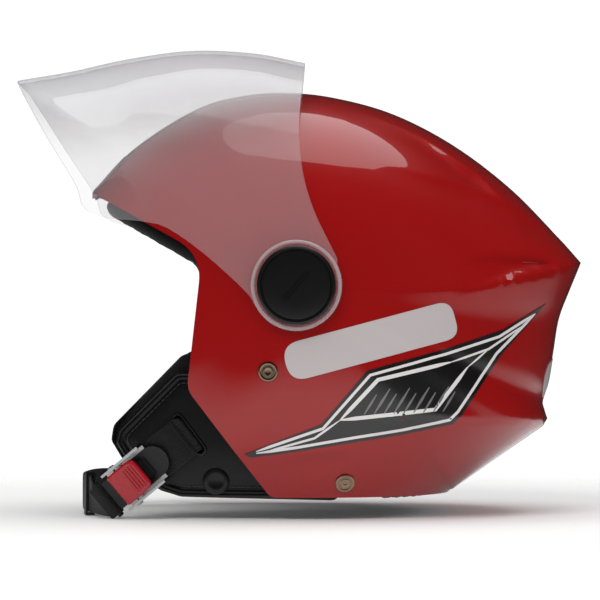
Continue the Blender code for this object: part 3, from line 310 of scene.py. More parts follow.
def walled(outer, inner, faces):
    """Closed wall between a sheet and its inner copy."""
    n = len(outer)
    edges = set()
    for face in faces:
        for a, b in zip(face, face[1:] + face[:1]):
            edges.add((a, b))
    every = list(faces) + [tuple(n + i for i in reversed(face)) for face in faces]
    for a, b in edges:
        if (b, a) not in edges:
            every.append((b, a, n + a, n + b))
    return list(outer) + list(inner), every


def solid_mesh(name, verts, faces):
    """Mesh with its seams joined and its faces turned outwards."""
    mesh = bpy.data.meshes.new(name)
    mesh.from_pydata([tuple(v) for v in verts], [], faces)
    work = bmesh.new()
    work.from_mesh(mesh)
    bmesh.ops.remove_doubles(work, verts=work.verts, dist=1e-7)
    bmesh.ops.recalc_face_normals(work, faces=work.faces)
    work.to_mesh(mesh)
    work.free()
    return mesh


def smooth(mesh, sharp):
    """Smooth shading that breaks at edges sharper than an angle in degrees."""
    mesh.shade_smooth()
    mesh.set_sharp_from_angle(angle=math.radians(sharp))


def round_edges(obj, width, angle):
    """Small round on every edge sharper than an angle in degrees."""
    edge = obj.modifiers.new("round", "BEVEL")
    edge.width = width
    edge.segments = 3
    edge.limit_method = "ANGLE"
    edge.angle_limit = math.radians(angle)


def piece(name, verts, faces, mat, body, nodes=(), sharp=35.0, round_edge=0.0):
    """A finished piece: mesh, material, the body it rides on and the nodes it stands for."""
    mesh = solid_mesh(name, verts, faces)
    mesh.materials.append(mat)
    smooth(mesh, sharp)
    obj = bpy.data.objects.new(name, mesh)
    bpy.context.scene.collection.objects.link(obj)
    if round_edge:
        round_edges(obj, round_edge, 40)
    if body:
        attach(obj, body)
    if nodes:
        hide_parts(*nodes)
    return obj


def clothe(names, mat):
    """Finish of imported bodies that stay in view."""
    for name in names:
        frame["nodes"][name].data.materials.clear()
        frame["nodes"][name].data.materials.append(mat)


def carve(obj, verts, faces, sharp):
    """Cut a closed shape out of a piece for good."""
    cutter = bpy.data.objects.new("cutter", solid_mesh("cutter", verts, faces))
    bpy.context.scene.collection.objects.link(cutter)
    cut = obj.modifiers.new("cut", "BOOLEAN")
    cut.operation = "DIFFERENCE"
    cut.object = cutter
    bpy.context.view_layer.update()
    cleared = bpy.data.meshes.new_from_object(obj.evaluated_get(bpy.context.evaluated_depsgraph_get()))
    obj.modifiers.clear()
    obj.data = cleared
    bpy.data.objects.remove(cutter)
    smooth(cleared, sharp)


def new_material(name, settings):
    """Node material with its shader's numbers set, and the place coordinates beside it."""
    made = bpy.data.materials.new(name)
    made.use_nodes = True
    tree = made.node_tree
    shader = tree.nodes["Principled BSDF"]
    for key, value in settings.items():
        shader.inputs[key].default_value = value
    return made, tree, shader, tree.nodes.new("ShaderNodeTexCoord")


def noise(tree, place, scale, detail=2.0):
    """Cloudy noise in the piece's own space, 0 to 1."""
    made = tree.nodes.new("ShaderNodeTexNoise")
    made.inputs["Scale"].default_value = scale
    made.inputs["Detail"].default_value = detail
    tree.links.new(place.outputs["Object"], made.inputs["Vector"])
    return made.outputs["Fac"]


def ranged(tree, source, low, high, span=None):
    """Value mapped to a range: evenly from 0 to 1, or over a span with soft ends."""
    made = tree.nodes.new("ShaderNodeMapRange")
    made.inputs["To Min"].default_value = low
    made.inputs["To Max"].default_value = high
    if span:
        made.interpolation_type = "SMOOTHSTEP"
        made.inputs["From Min"].default_value = span[0]
        made.inputs["From Max"].default_value = span[1]
    tree.links.new(source, made.inputs["Value"])
    return made.outputs["Result"]


def combined(tree, operation, one, two):
    """Sum or product of a socket and another socket or a number."""
    made = tree.nodes.new("ShaderNodeMath")
    made.operation = operation
    tree.links.new(one, made.inputs[0])
    if isinstance(two, float):
        made.inputs[1].default_value = two
    else:
        tree.links.new(two, made.inputs[1])
    return made.outputs[0]


def tinted(tree, share, one, two):
    """Colour that drifts between two."""
    made = tree.nodes.new("ShaderNodeMix")
    made.data_type = "RGBA"
    made.inputs["A"].default_value = (*one, 1.0)
    made.inputs["B"].default_value = (*two, 1.0)
    tree.links.new(share, made.inputs["Factor"])
    return made.outputs["Result"]


def relief(tree, height, strength, distance):
    """Fine surface relief from a height."""
    made = tree.nodes.new("ShaderNodeBump")
    made.inputs["Strength"].default_value = strength
    made.inputs["Distance"].default_value = distance
    tree.links.new(height, made.inputs["Height"])
    return made.outputs["Normal"]


def finish_material(name, rgb, roughness, metallic=0.0, coat=0.0, coat_rough=0.03, sheen=0.0,
                    detail=400.0, mottle=0.06, bump=0.0, bump_kind="NOISE", spread=0.04, specular=0.5):
    """Base finish: the colour drifts slightly, the roughness is uneven, and a fine relief lies on top."""
    made, tree, shader, place = new_material(name, {
        "Metallic": metallic, "Specular IOR Level": specular, "IOR": 1.5, "Coat Weight": coat,
        "Coat Roughness": coat_rough, "Sheen Weight": sheen, "Sheen Roughness": 0.4})
    darker = [c * (1 - mottle) for c in rgb]
    lighter = [min(c * (1 + mottle), 1.0) for c in rgb]
    tint = tinted(tree, noise(tree, place, 22.0, 4.0), darker, lighter)
    tree.links.new(tint, shader.inputs["Base Color"])
    grain = noise(tree, place, detail, 3.0)
    rough = ranged(tree, grain, max(roughness - spread, 0.0), roughness + spread)
    tree.links.new(rough, shader.inputs["Roughness"])
    if bump:
        source = grain
        if bump_kind == "VORONOI":
            cells = tree.nodes.new("ShaderNodeTexVoronoi")
            cells.inputs["Scale"].default_value = detail
            tree.links.new(place.outputs["Object"], cells.inputs["Vector"])
            source = cells.outputs["Distance"]
        tree.links.new(relief(tree, source, 0.6, bump), shader.inputs["Normal"])
    return made


red_lacquer = finish_material("red_lacquer", (0.255, 0.0003, 0.0006), 0.36, coat=1.0, coat_rough=0.035,
                              detail=900.0, mottle=0.03, bump=0.00001, spread=0.03, specular=0.15)
shell_outline = rounded(OPENING, OPENING_RADII, 10)
shell_verts, shell_faces = skin(shell_outline, BROW_TIP, OPENING[1], 300, 90)
shell_normals = normals_of(shell_verts, shell_faces)
shell_tree = BVHTree.FromPolygons(shell_verts, shell_faces)
inner_verts = [v - n * SHELL_WALL for v, n in zip(shell_verts, shell_normals)]
whole_verts, whole_faces = walled(shell_verts, inner_verts, shell_faces)
shell = piece("shell_skin", whole_verts, whole_faces, red_lacquer, "helmet", ["outer_shell"],
              sharp=50.0)
round_edges(shell, SHELL_ROUND, 50)


def on_shell(x, z, side, lift=0.0):
    """Point on the shell's outside at a side-view point, raised along its normal."""
    hit, normal, _, _ = shell_tree.ray_cast(world(x, side * 300.0, z), Vector((0.0, -side, 0.0)))
    if hit is None:
        hit, normal, _, _ = shell_tree.find_nearest(world(x, side * 60.0, z))
    if normal.y * side < 0:
        normal = -normal
    return hit + normal * lift, normal


def on_shell_normal(point, side):
    """Outward direction of the shell nearest to a point."""
    _, normal, _, _ = shell_tree.find_nearest(point)
    return normal if normal.y * side > 0 else -normal


def turned(profile, steps=48, origin=(0, 0, 0), axis=(0, 0, 1)):
    """Solid of revolution about an axis, from (radius, height) pairs."""
    axis = Vector(axis).normalized()
    side = axis.orthogonal().normalized()
    over = axis.cross(side)
    verts = []
    rings = []
    for radius, height in profile:
        middle = Vector(origin) + axis * height
        if radius < 1e-7:
            rings.append([len(verts)])
            verts.append(middle)
            continue
        rings.append(list(range(len(verts), len(verts) + steps)))
        verts += [middle + side * radius * math.cos(2 * math.pi * k / steps)
                  + over * radius * math.sin(2 * math.pi * k / steps) for k in range(steps)]
    faces = []
    for one, two in zip(rings, rings[1:]):
        for k in range(steps):
            j = (k + 1) % steps
            if len(one) == 1:
                faces.append((one[0], two[k], two[j]))
            elif len(two) == 1:
                faces.append((one[k], two[0], one[j]))
            else:
                faces.append((one[k], two[k], two[j], one[j]))
    return verts, faces


# ============================================================
# Rivets. Four pressed brass tubular rivets with ringed heads: two hold the strap anchors,
# two hold the cheek pad carriers. Their heads sit flush on the lacquer.
# ============================================================
antique_brass = finish_material("antique_brass", (0.34, 0.25, 0.17), 0.34, metallic=1.0, detail=1500.0,
                                mottle=0.25, bump=0.00004, spread=0.10)
SIDES = (("left", -1), ("right", 1))
RIVETS = (("upper", (-17.4, 70.0)), ("lower", (24.7, 8.5)))
for tag, side in SIDES:
    for level, at in RIVETS:
        hit, normal = on_shell(at[0], at[1], side)
        head = [(0, -0.006), (0.0022, -0.006), (0.0022, 0.0), (0.0053, 0.0), (0.00545, 0.0005),
                (0.0052, 0.0011),
                (0.0046, 0.0014), (0.0040, 0.0012), (0.0037, 0.0008), (0.0031, 0.0008), (0.0027, 0.0012),
                (0.0019, 0.0013), (0.0012, 0.0010), (0.0010, 0.0004), (0, 0.0003)]
        verts, faces = turned(head, 40, hit, normal)
        piece(f"rivet_head_{level}_{tag}", verts, faces, antique_brass, "helmet",
              [f"rivet_{level}_{tag}"])

# ============================================================
# Retroreflective stickers. Grey-white film with a fine honeycomb under its clear face:
# a rounded bar on each side, a small patch on the brow and one low on the back.
# ============================================================
GLUE = 0.00005
FILM = 0.0003
BAR_MIDDLE = (38.6, 86.5)
film = finish_material("reflective_film", (0.43, 0.39, 0.39), 0.38, detail=700.0, mottle=0.03, bump=0.00003,
                       bump_kind="VORONOI", coat=0.5, coat_rough=0.12)


def draped(name, outline, side, lift, thick, mat, nodes, step=1.8):
    """Thin film inside a side-view outline, laid on the shell."""
    work = bmesh.new()
    work.faces.new([work.verts.new((x, 0.0, z)) for x, z in outline])
    for k in (0, 2):
        values = [v.co[k] for v in work.verts]
        normal = Vector((1, 0, 0)) if k == 0 else Vector((0, 0, 1))
        for cut in np.arange(min(values) + step * 0.7, max(values) - step * 0.3, step):
            geometry = work.verts[:] + work.edges[:] + work.faces[:]
            bmesh.ops.bisect_plane(work, geom=geometry, plane_co=normal * float(cut), plane_no=normal,
                                   dist=0.05)
    work.verts.index_update()
    flat = [(v.co.x, v.co.z) for v in work.verts]
    faces = [tuple(v.index for v in f.verts) for f in work.faces]
    work.free()
    low = [on_shell(x, z, side, lift)[0] for x, z in flat]
    high = [on_shell(x, z, side, lift + thick)[0] for x, z in flat]
    verts, every = walled(high, low, faces)
    return piece(name, verts, every, mat, "helmet", nodes, sharp=60.0)


lean = math.radians(14.9)
bar = [(-48, -10.5), (48, -10.5), (48, 10.5), (-48, 10.5)]
bar = [(BAR_MIDDLE[0] + a * math.cos(lean) - b * math.sin(lean),
        BAR_MIDDLE[1] + a * math.sin(lean) + b * math.cos(lean)) for a, b in bar]
for tag, side in SIDES:
    draped(f"reflector_film_{tag}", rounded(bar, [10.0, 8.0, 8.0, 10.0], 10), side, GLUE, FILM, film,
           [f"reflector_{tag}"])


def wrapped(name, angles, half_y, node):
    """Rounded film across the middle line, between two angles about the head's centre."""
    outer = []
    inner = []
    rows, columns = 18, 28
    for i in range(rows + 1):
        for k in range(columns + 1):
            u = 2 * k / columns - 1
            v = 2 * i / rows - 1
            a = u * math.sqrt(1 - v * v * 0.40)
            b = v * math.sqrt(1 - u * u * 0.40)
            angle = math.radians(angles[0] + (angles[1] - angles[0]) * (b + 1) / 2)
            start = Vector((0.4 * math.cos(angle), a * half_y, world(0, 0, 100)[2] + 0.4 * math.sin(angle)))
            ray = Vector((-math.cos(angle), 0.0, -math.sin(angle)))
            hit, normal, _, _ = shell_tree.ray_cast(start, ray)
            if normal.dot(ray) > 0:
                normal = -normal
            inner.append(hit + normal * GLUE)
            outer.append(hit + normal * (GLUE + FILM))
    wide = columns + 1
    faces = [(i * wide + k, (i + 1) * wide + k, (i + 1) * wide + k + 1, i * wide + k + 1)
             for i in range(rows) for k in range(columns)]
    verts, every = walled(outer, inner, faces)
    piece(name, verts, every, film, "helmet", [node], sharp=60.0)


wrapped("reflector_film_front", (137.5, 149.0), 0.027, "reflector_front")
wrapped("reflector_film_rear", (-19.0, -9.5), 0.036, "reflector_rear")

# ============================================================
# Side decals. A black printed vinyl dart with a white pinstripe that follows its edge,
# a framed middle panel and a plain hatch inside it. Printed film under 0.1 mm thick.
# ============================================================
PRINT_GLUE = 0.00025
PRINT_THICK = 0.0001
LINE_LIFT = 0.00047
decal_black = finish_material("decal_black", (0.0060, 0.0052, 0.0056), 0.30, coat=0.5, coat_rough=0.06,
                              detail=900.0, mottle=0.08)
decal_white = finish_material("decal_white", (0.62, 0.60, 0.60), 0.32, coat=0.8, coat_rough=0.06,
                              detail=900.0, mottle=0.03)
decal_grey = finish_material("decal_grey", (0.13, 0.125, 0.13), 0.34, coat=0.8, coat_rough=0.06,
                             detail=900.0, mottle=0.06)
DART = [(-30.5, 24.5), (11.7, 41.0), (36.7, 70.5), (79.1, 82.0), (112, 92.5), (137.5, 107.0), (111, 78.5),
        (89, 46.0), (84, 41.0), (56.4, 35.5), (31.2, 31.5), (-2.8, 26.0), (-27, 22.8)]
STRIPES = {
    "dart_top": ([(-24, 26.2), (12.6, 38.8), (38.2, 68.0), (79.6, 79.3), (110, 88.8), (131, 101.5)], 1.5),
    "dart_low": ([(-24, 25.2), (-2, 28.3), (31, 34.0), (56, 38.0), (82.0, 43.3), (86.5, 47.5), (108.5, 79.5),
                  (131, 101.5)], 1.5),
    "panel_top": ([(22.0, 43.5), (42.5, 65.5), (82.5, 74.8)], 2.1),
    "panel_low": ([(22.0, 43.5), (74.0, 49.0), (92.0, 72.0)], 2.1),
    "whisker_a": ([(82.5, 74.8), (104.0, 82.0), (124.0, 95.0)], 1.2),
    "whisker_b": ([(92.0, 72.0), (104.0, 82.0)], 1.2),
    "whisker_c": ([(-20.0, 25.6), (8.0, 33.5), (22.0, 43.5)], 1.2),
}


def stripe(points, width, side):
    """Printed line on the decal, tapering to a point at both ends."""
    middle = []
    for (ax, az), (bx, bz) in zip(points, points[1:]):
        steps = max(int(math.hypot(bx - ax, bz - az) / 2.0), 2)
        middle += [(ax + (bx - ax) * k / steps, az + (bz - az) * k / steps) for k in range(steps)]
    middle.append(points[-1])
    outer = []
    count = len(middle)
    for i, (x, z) in enumerate(middle):
        before = middle[max(i - 1, 0)]
        after = middle[min(i + 1, count - 1)]
        d = Vector((after[0] - before[0], after[1] - before[1])).normalized()
        taper = min(1.0, 0.35 + min(i, count - 1 - i) / 6.0)
        for s in (-0.5, 0.5):
            px = x - d.y * width * taper * s
            pz = z + d.x * width * taper * s
            outer.append(on_shell(px, pz, side, LINE_LIFT)[0])
    inner = [v - on_shell_normal(v, side) * PRINT_THICK for v in outer]
    faces = [(2 * i, 2 * i + 1, 2 * i + 3, 2 * i + 2) for i in range(count - 1)]
    verts, every = walled(outer, inner, faces)
    return verts, every


for tag, side in SIDES:
    draped(f"decal_dart_{tag}", DART, side, PRINT_GLUE, PRINT_THICK, decal_black,
           [f"decal_{tag}"])
    for key, (points, width) in STRIPES.items():
        verts, faces = stripe(points, width, side)
        piece(f"decal_{key}_{tag}", verts, faces, decal_white, "helmet", sharp=60.0)
    for n in range(9):
        x = 35.0 + n * 5.4
        low_z = 46.5 + 0.16 * n
        tall = 11.0 + (3.0 if n % 2 else 0.0)
        verts, faces = stripe([(x, low_z), (x + tall * 0.62, low_z + tall)], 1.5, side)
        piece(f"decal_hatch_{n}_{tag}", verts, faces, decal_grey, "helmet", sharp=60.0)

# ============================================================
# Visor pivots. Black nylon: a base plate on the shell, and a pressed-on round cap with a
# ring groove, a fine mould grain and a coin slot. Steel screw, washer and nut inside.
# ============================================================
black_nylon = finish_material("black_nylon", (0.0050, 0.0050, 0.0050), 0.40, detail=1300.0, mottle=0.15,
                              bump=0.00004, spread=0.06, specular=0.4)
zinc = finish_material("zinc_plate", (0.46, 0.46, 0.47), 0.30, metallic=1.0, detail=900.0, mottle=0.12,
                       bump=0.00003, spread=0.10)
pivot_at = world(PIVOT[0], 0.0, PIVOT[1])
for tag, side in SIDES:
    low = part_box(f"pivot_cap_{tag}")[0].y if side > 0 else -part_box(f"pivot_cap_{tag}")[1].y
    profile = [(0, low), (0.0208, low), (0.0215, low + 0.0005), (0.0215, low + 0.0018),
               (0.0210, low + 0.0026),
               (0.0202, low + 0.0030), (0.0197, low + 0.0029), (0.0193, low + 0.0022), (0.0188, low + 0.0022),
               (0.0184, low + 0.0029), (0.0178, low + 0.0031), (0.0100, low + 0.0033), (0, low + 0.0034)]
    verts, faces = turned(profile, 96, pivot_at, (0, side, 0))
    cap = piece(f"pivot_cover_{tag}", verts, faces, black_nylon, "helmet",
                [f"pivot_cap_{tag}"])
    turn = Matrix.Rotation(math.radians(-48), 4, "Y")
    size = Matrix.Diagonal((0.019, 0.0022, 0.0030, 1.0))
    centre = Matrix.Translation(pivot_at + Vector((0, side * (low + 0.0036), 0)))
    corners = [centre @ turn @ size @ Vector((a / 2, b / 2, c / 2))
               for a in (-1, 1) for b in (-1, 1) for c in (-1, 1)]
    carve(cap, corners, [(0, 1, 3, 2), (4, 6, 7, 5), (0, 4, 5, 1), (2, 3, 7, 6), (0, 2, 6, 4),
                         (1, 5, 7, 3)], 35)
    clothe([f"pivot_base_{tag}"], black_nylon)
    clothe([f"pivot_screw_{tag}", f"pivot_washer_{tag}", f"pivot_nut_{tag}", f"strap_anchor_{tag}"], zinc)

# ============================================================
# Visor. One thermoformed sheet of clear polycarbonate, 2 mm thick, hard coated, with a
# grey tint that fades down from its upper edge. Its pale grey veil is partly that tint and partly painted
# reflection of the bright room, and its cut edges and boss rim are drawn paler and denser as a painted glint.
# It turns on the two base plate necks.
# ============================================================
VISOR_CROWN = [(2.9, 245.0), (-27, 250.6), (-63, 252.0), (-100, 247.0), (-132, 240.0), (-162, 235.0)]
VISOR_REAR = [(0.5, 220), (-0.6, 204), (0.2, 188), (2.8, 173), (7.5, 158), (14, 144), (20, 132)]
VISOR_FRONT = [(-141, 200), (-124, 173), (-119, 160), (-108, 154.5), (-86, 152), (-72, 148), (-52, 134),
               (-30, 114)]
VISOR_HALF = 120.9
VISOR_WALL = 0.0020
BOSS = 25.0
BOSS_LEAN = math.radians(118.0)
TINT_LEAN = -0.13
TINT_SPAN = (0.212, 0.268)


def visor_material(name, clear_alpha, tint_alpha, rgb, roughness):
    """Clear sheet: see-through under a pale grey veil that is partly tint and partly painted reflection,
    thickening as a smooth ramp from the raised upper edge.
    """
    made, tree, shader, place = new_material(name, {
        "Metallic": 0.0, "Transmission Weight": 0.0, "Specular IOR Level": 0.9, "IOR": 1.58,
        "Roughness": roughness})
    split = tree.nodes.new("ShaderNodeSeparateXYZ")
    tree.links.new(place.outputs["Object"], split.inputs["Vector"])
    fore = combined(tree, "MULTIPLY", split.outputs["X"], TINT_LEAN)
    level = combined(tree, "ADD", split.outputs["Z"], fore)
    haze = noise(tree, place, 60.0)
    alpha = combined(tree, "ADD", ranged(tree, level, clear_alpha, tint_alpha, TINT_SPAN),
                     ranged(tree, haze, -0.008, 0.008))
    tree.links.new(alpha, shader.inputs["Alpha"])
    tree.links.new(tinted(tree, haze, rgb, [c * 0.93 for c in rgb]), shader.inputs["Base Color"])
    return made


def visor_radius(angle):
    """Distance from the pivot to the sheet's middle line, at an angle."""
    d = flow(VISOR_CROWN, 200) - np.array(PIVOT)
    return np.interp(angle, np.arctan2(d[:, 1], d[:, 0]), np.hypot(d[:, 0], d[:, 1]))


def visor_sheet(rows, columns):
    """The sheet in its raised pose, as rows that climb from below the pivot to the middle line."""
    pivot = np.array(PIVOT)
    axis = np.array([math.cos(BOSS_LEAN), math.sin(BOSS_LEAN)])
    across = np.array([axis[1], -axis[0]])
    turns = [math.radians(t) for t in np.linspace(-84.0, 0.0, 16)]
    low_right = [pivot + BOSS * (axis * math.sin(t) + across * math.cos(t)) for t in turns]
    low_left = [pivot + BOSS * (axis * math.sin(t) - across * math.cos(t)) for t in turns]
    rear = np.vstack([[low_right[-1]], VISOR_REAR[::-1], [VISOR_CROWN[0]]])
    fore = np.vstack([[low_left[-1]], VISOR_FRONT[::-1], [VISOR_CROWN[-1]]])
    right = np.vstack([low_right[:-1], flow(rear, rows + 1)])
    left = np.vstack([low_left[:-1], flow(fore, rows + 1)])
    points = []
    for r, l in zip(right, left):
        dr = r - pivot
        dl = l - pivot
        ar = math.atan2(dr[1], dr[0])
        al = math.atan2(dl[1], dl[0])
        height = float(np.dot((r + l) / 2 - pivot, axis))
        blend = min(max(height / (BOSS * 1.6), 0.0), 1.0)
        share_r = np.hypot(*dr) / visor_radius(ar)
        share_l = np.hypot(*dl) / visor_radius(al)
        row = []
        for k in range(columns + 1):
            u = k / columns
            at = r * (1 - u) + l * u
            if blend > 0:
                a = ar * (1 - u) + al * u
                share = share_r * (1 - u) + share_l * u
                arc = pivot + share * visor_radius(a) * np.array([math.cos(a), math.sin(a)])
                at = at * (1 - blend) + arc * blend
            d = at - pivot
            full = visor_radius(math.atan2(d[1], d[0])) if blend > 0 else 150.0
            level = min(np.hypot(*d) / full, 1.0)
            flat = (BOSS / full) ** POWER
            fall = max(level ** POWER - flat, 0.0) / (1.0 - flat)
            row.append([at[0], (1.0 - fall) ** (1.0 / POWER), at[1]])
        points.append(row)
    for at in points[-1]:
        at[1] = 0.0
    return points


visor_rows = visor_sheet(90, 60)
verts = []
index = {}
last = len(visor_rows) - 1
for side in (-1, 1):
    for i, row in enumerate(visor_rows):
        for k, (x, y, z) in enumerate(row):
            if side == 1 and i == last:
                index[side, i, k] = index[-1, i, k]
                continue
            index[side, i, k] = len(verts)
            verts.append(world(x, side * y * VISOR_HALF, z))
faces = []
for side in (-1, 1):
    for i in range(last):
        for k in range(len(visor_rows[0]) - 1):
            quad = (index[side, i, k], index[side, i + 1, k], index[side, i + 1, k + 1],
                    index[side, i, k + 1])
            faces.append(quad if side == -1 else quad[::-1])
normals = normals_of(verts, faces)
sheet_count = len(faces)
inner = [v - n * VISOR_WALL for v, n in zip(verts, normals)]
verts, faces = walled(verts, inner, faces)
# Pale grey veil drawn through alpha: partly the sheet's grey tint, partly painted reflection that lightens
# the red shell seen through it.
sheet_tint_and_painted_reflection = visor_material("clear_polycarbonate_tint_and_painted_reflection", 0.10, 0.42, (0.62, 0.62, 0.64), 0.03)
# Painted highlight: the sheet's cut edges get a paler, denser grey than the sheet, standing in for the bright
# glint along them; the higher roughness is the edge's own.
edge_with_painted_glint = visor_material("polycarbonate_edge_painted_glint", 0.34, 0.60, (0.66, 0.66, 0.68), 0.12)
visor = piece("visor_sheet", verts, faces, sheet_tint_and_painted_reflection, "visor", ["visor"], sharp=50.0)
visor.data.materials.append(edge_with_painted_glint)
for polygon in visor.data.polygons[2 * sheet_count:]:
    polygon.material_index = 1
# The raised boss rim wears the same paler, denser edge grey, a painted highlight round the ring.
for tag, side in SIDES:
    y = VISOR_HALF / 1000
    rim = [(0.0226, y - 0.0006), (0.0226, y + 0.0004), (0.0231, y + 0.0009), (0.0241, y + 0.0009),
           (0.0247, y + 0.0003), (0.0248, y - 0.0006)]
    verts, faces = turned(rim, 96, pivot_at, (0, side, 0))
    piece(f"visor_boss_rim_{tag}", verts, faces, edge_with_painted_glint, "visor")

# ============================================================
# Foam liner. Black expanded polystyrene, moulded in one piece between the shell and the
# comfort lining. Its beads show as a fine pebble where it is bare.
# ============================================================
beads = finish_material("foam_beads", (0.018, 0.018, 0.018), 0.78, detail=380.0, mottle=0.2, bump=0.0004,
                        bump_kind="VORONOI", spread=0.08)
HEAD_HALF = (101.5, 77.0)
HEAD_UP = 84.0
HEAD_BELOW = 150.0
HEAD_POWER = 2.2
LINING_GROWTH = (6.5, 10.5)
FOAM_GAP = 0.0083
SEAM_DEPTH = 2.6
SEAM_WIDTH = 4.5
FOAM_OUTLINE = [(-108, 183.0), (-98, 175.0), (-46, 146.0), (-41, 114.0), (-43, 88.0), (-6, 81.0), (34, 25.0),
                (220.0, 25.0), (220.0, 300.0), (-108, 300.0)]
LINING_OUTLINE = [(-100, 173.0), (-44, 144.0), (-39, 115.0), (-40, 92.0), (-2, 85.0), (38, 31.0),
                  (220.0, 31.0),
                  (220.0, 300.0), (-100, 300.0)]


def on_head(verts, thickness):
    """Points moved onto the head form, grown by a thickness in millimetres at each."""
    centre = world(0.0, 0.0, 108.0)
    moved = []
    for v, t in zip(verts, thickness):
        d = (Vector(v) - centre).normalized()
        up = HEAD_UP if d.z > 0 else HEAD_BELOW
        total = (abs(d.x / (HEAD_HALF[0] + t)) ** HEAD_POWER + abs(d.y / (HEAD_HALF[1] + t)) ** HEAD_POWER
                 + abs(d.z / (up + t)) ** HEAD_POWER)
        moved.append(centre + d * total ** (-1 / HEAD_POWER) / 1000)
    return moved


verts, faces = skin(FOAM_OUTLINE, (-108, 183.0), (-46, 146.0), 130, 30)
normals = normals_of(verts, faces)
outer = [v - n * FOAM_GAP for v, n in zip(verts, normals)]
inner = on_head(outer, [LINING_GROWTH[1]] * len(outer))
verts, faces = walled(outer, inner, faces)
piece("foam_liner", verts, faces, beads, "helmet", ["eps_liner"], round_edge=0.002)

# ============================================================
# Comfort lining. Brushed black knit over thin soft foam, sewn in panels; the seams pull
# the face of it in by a couple of millimetres. Clipped inside the foam liner.
# ============================================================
knit = finish_material("brushed_knit", (0.0045, 0.0045, 0.0050), 0.88, sheen=0.10, detail=2200.0, mottle=0.3,
                       bump=0.00025, spread=0.06)
verts, faces = skin(LINING_OUTLINE, (-100, 173.0), (-44, 144.0), 130, 40)
outer = on_head(verts, [LINING_GROWTH[0]] * len(verts))
depths = []
for v in verts:
    x, y, z = v.x * 1000, v.y * 1000, v.z * 1000 - RIM
    lengthways = min(abs(abs(y) - 30.0), 200.0)
    crossways = min(abs(x - at) for at in (-52.0, 0.0, 52.0)) if z > 120 else 200.0
    level = abs(z - 120.0) if abs(y) > 40 or x > 60 else 200.0
    near = min(lengthways if z > 120 else 200.0, crossways, level)
    depths.append(SEAM_DEPTH * math.exp(-(near / SEAM_WIDTH) ** 2))
inner = on_head(verts, depths)
verts, faces = walled(outer, inner, faces)
lining = piece("comfort_lining", verts, faces, knit, "helmet", ["crown_lining"],
               sharp=80.0, round_edge=0.0015)


def tube_faces(count, steps, closed=False):
    """Skin over rings of points: capped at both ends, or joined end to end."""
    faces = []
    if not closed:
        faces = [tuple(range(steps - 1, -1, -1)), tuple(range((count - 1) * steps, count * steps))]
    for i in range(count if closed else count - 1):
        j = (i + 1) % count
        for k in range(steps):
            m = (k + 1) % steps
            faces.append((i * steps + k, i * steps + m, j * steps + m, j * steps + k))
    return faces


def placed(x, y, z):
    """Point with its side-view place in millimetres and its y in metres."""
    return Vector((x / 1000, y, (z + RIM) / 1000))


def swept(path, widths, heights, ups, steps=20):
    """Closed roll along a path, with its own half width and half height at every point."""
    verts = []
    count = len(path)
    for i, point in enumerate(path):
        along = (path[min(i + 1, count - 1)] - path[max(i - 1, 0)]).normalized()
        up = (ups[i] - along * ups[i].dot(along)).normalized()
        across = along.cross(up)
        for k in range(steps):
            a = 2 * math.pi * k / steps
            verts.append(point + across * math.cos(a) * widths[i] + up * math.sin(a) * heights[i])
    return verts, tube_faces(count, steps)


def padded_roll(name, path, ups, half, tall, node):
    """Stuffed roll: small gathers along its seam make its girth uneven."""
    count = len(path)
    widths = []
    heights = []
    for i in range(count):
        ends = min(1.0, 0.42 + min(i, count - 1 - i) * 0.14)
        gather = 1.0 + 0.025 * math.sin(i * 0.9) + 0.02 * math.sin(i * 2.3 + 1.0)
        widths.append(half * ends * gather)
        heights.append(half * tall * ends * (2.0 - gather))
    verts, faces = swept(path, widths, heights, ups)
    roll = piece(name, verts, faces, knit, "helmet", [node], sharp=80.0)


# ============================================================
# Brow pad and neck roll. Soft foam rolls in the same knit, sewn along their back seam,
# that follow the face opening and the neck rim just inside the shell's edge.
# ============================================================
edge = rounded([(-117.0, 170.0), (-53.5, 134.0), (-60.0, 84.0)], [0.0, 22.0, 0.0], 5)
points = []
for x, z in flow(edge, 90)[::-1]:
    points.append((x, -float(side_y(np.array([x]), np.array([z]))[0]), z))
points[-1] = (-118.0, 0.0, 171.0)
points = points + [(x, -y, z) for x, y, z in points[-2::-1]]
path = []
ups = []
for x, y, z in flow(points, 131):
    p = world(x, y, z)
    inward = (world(-10.0, 0.0, 108.0) - p).normalized()
    path.append(p + inward * 0.0150 + Vector((0.0, 0.0, -0.0020)))
    ups.append(inward)
padded_roll("brow_roll", path, ups, 0.0048, 1.25, "brow_pad")

path = []
for k in range(121):
    a = math.radians(-58 + 116 * k / 120)
    x = (0.087436 - 0.0135) * math.cos(a) ** (2 / POWER)
    y = (0.09346 - 0.0150) * math.copysign(abs(math.sin(a)) ** (2 / POWER), math.sin(a))
    path.append(Vector((x, y, (7.0 + RIM) / 1000)))
padded_roll("neck_pad", path, [Vector((0, 0, 1))] * len(path), 0.0062, 1.35, "neck_roll")

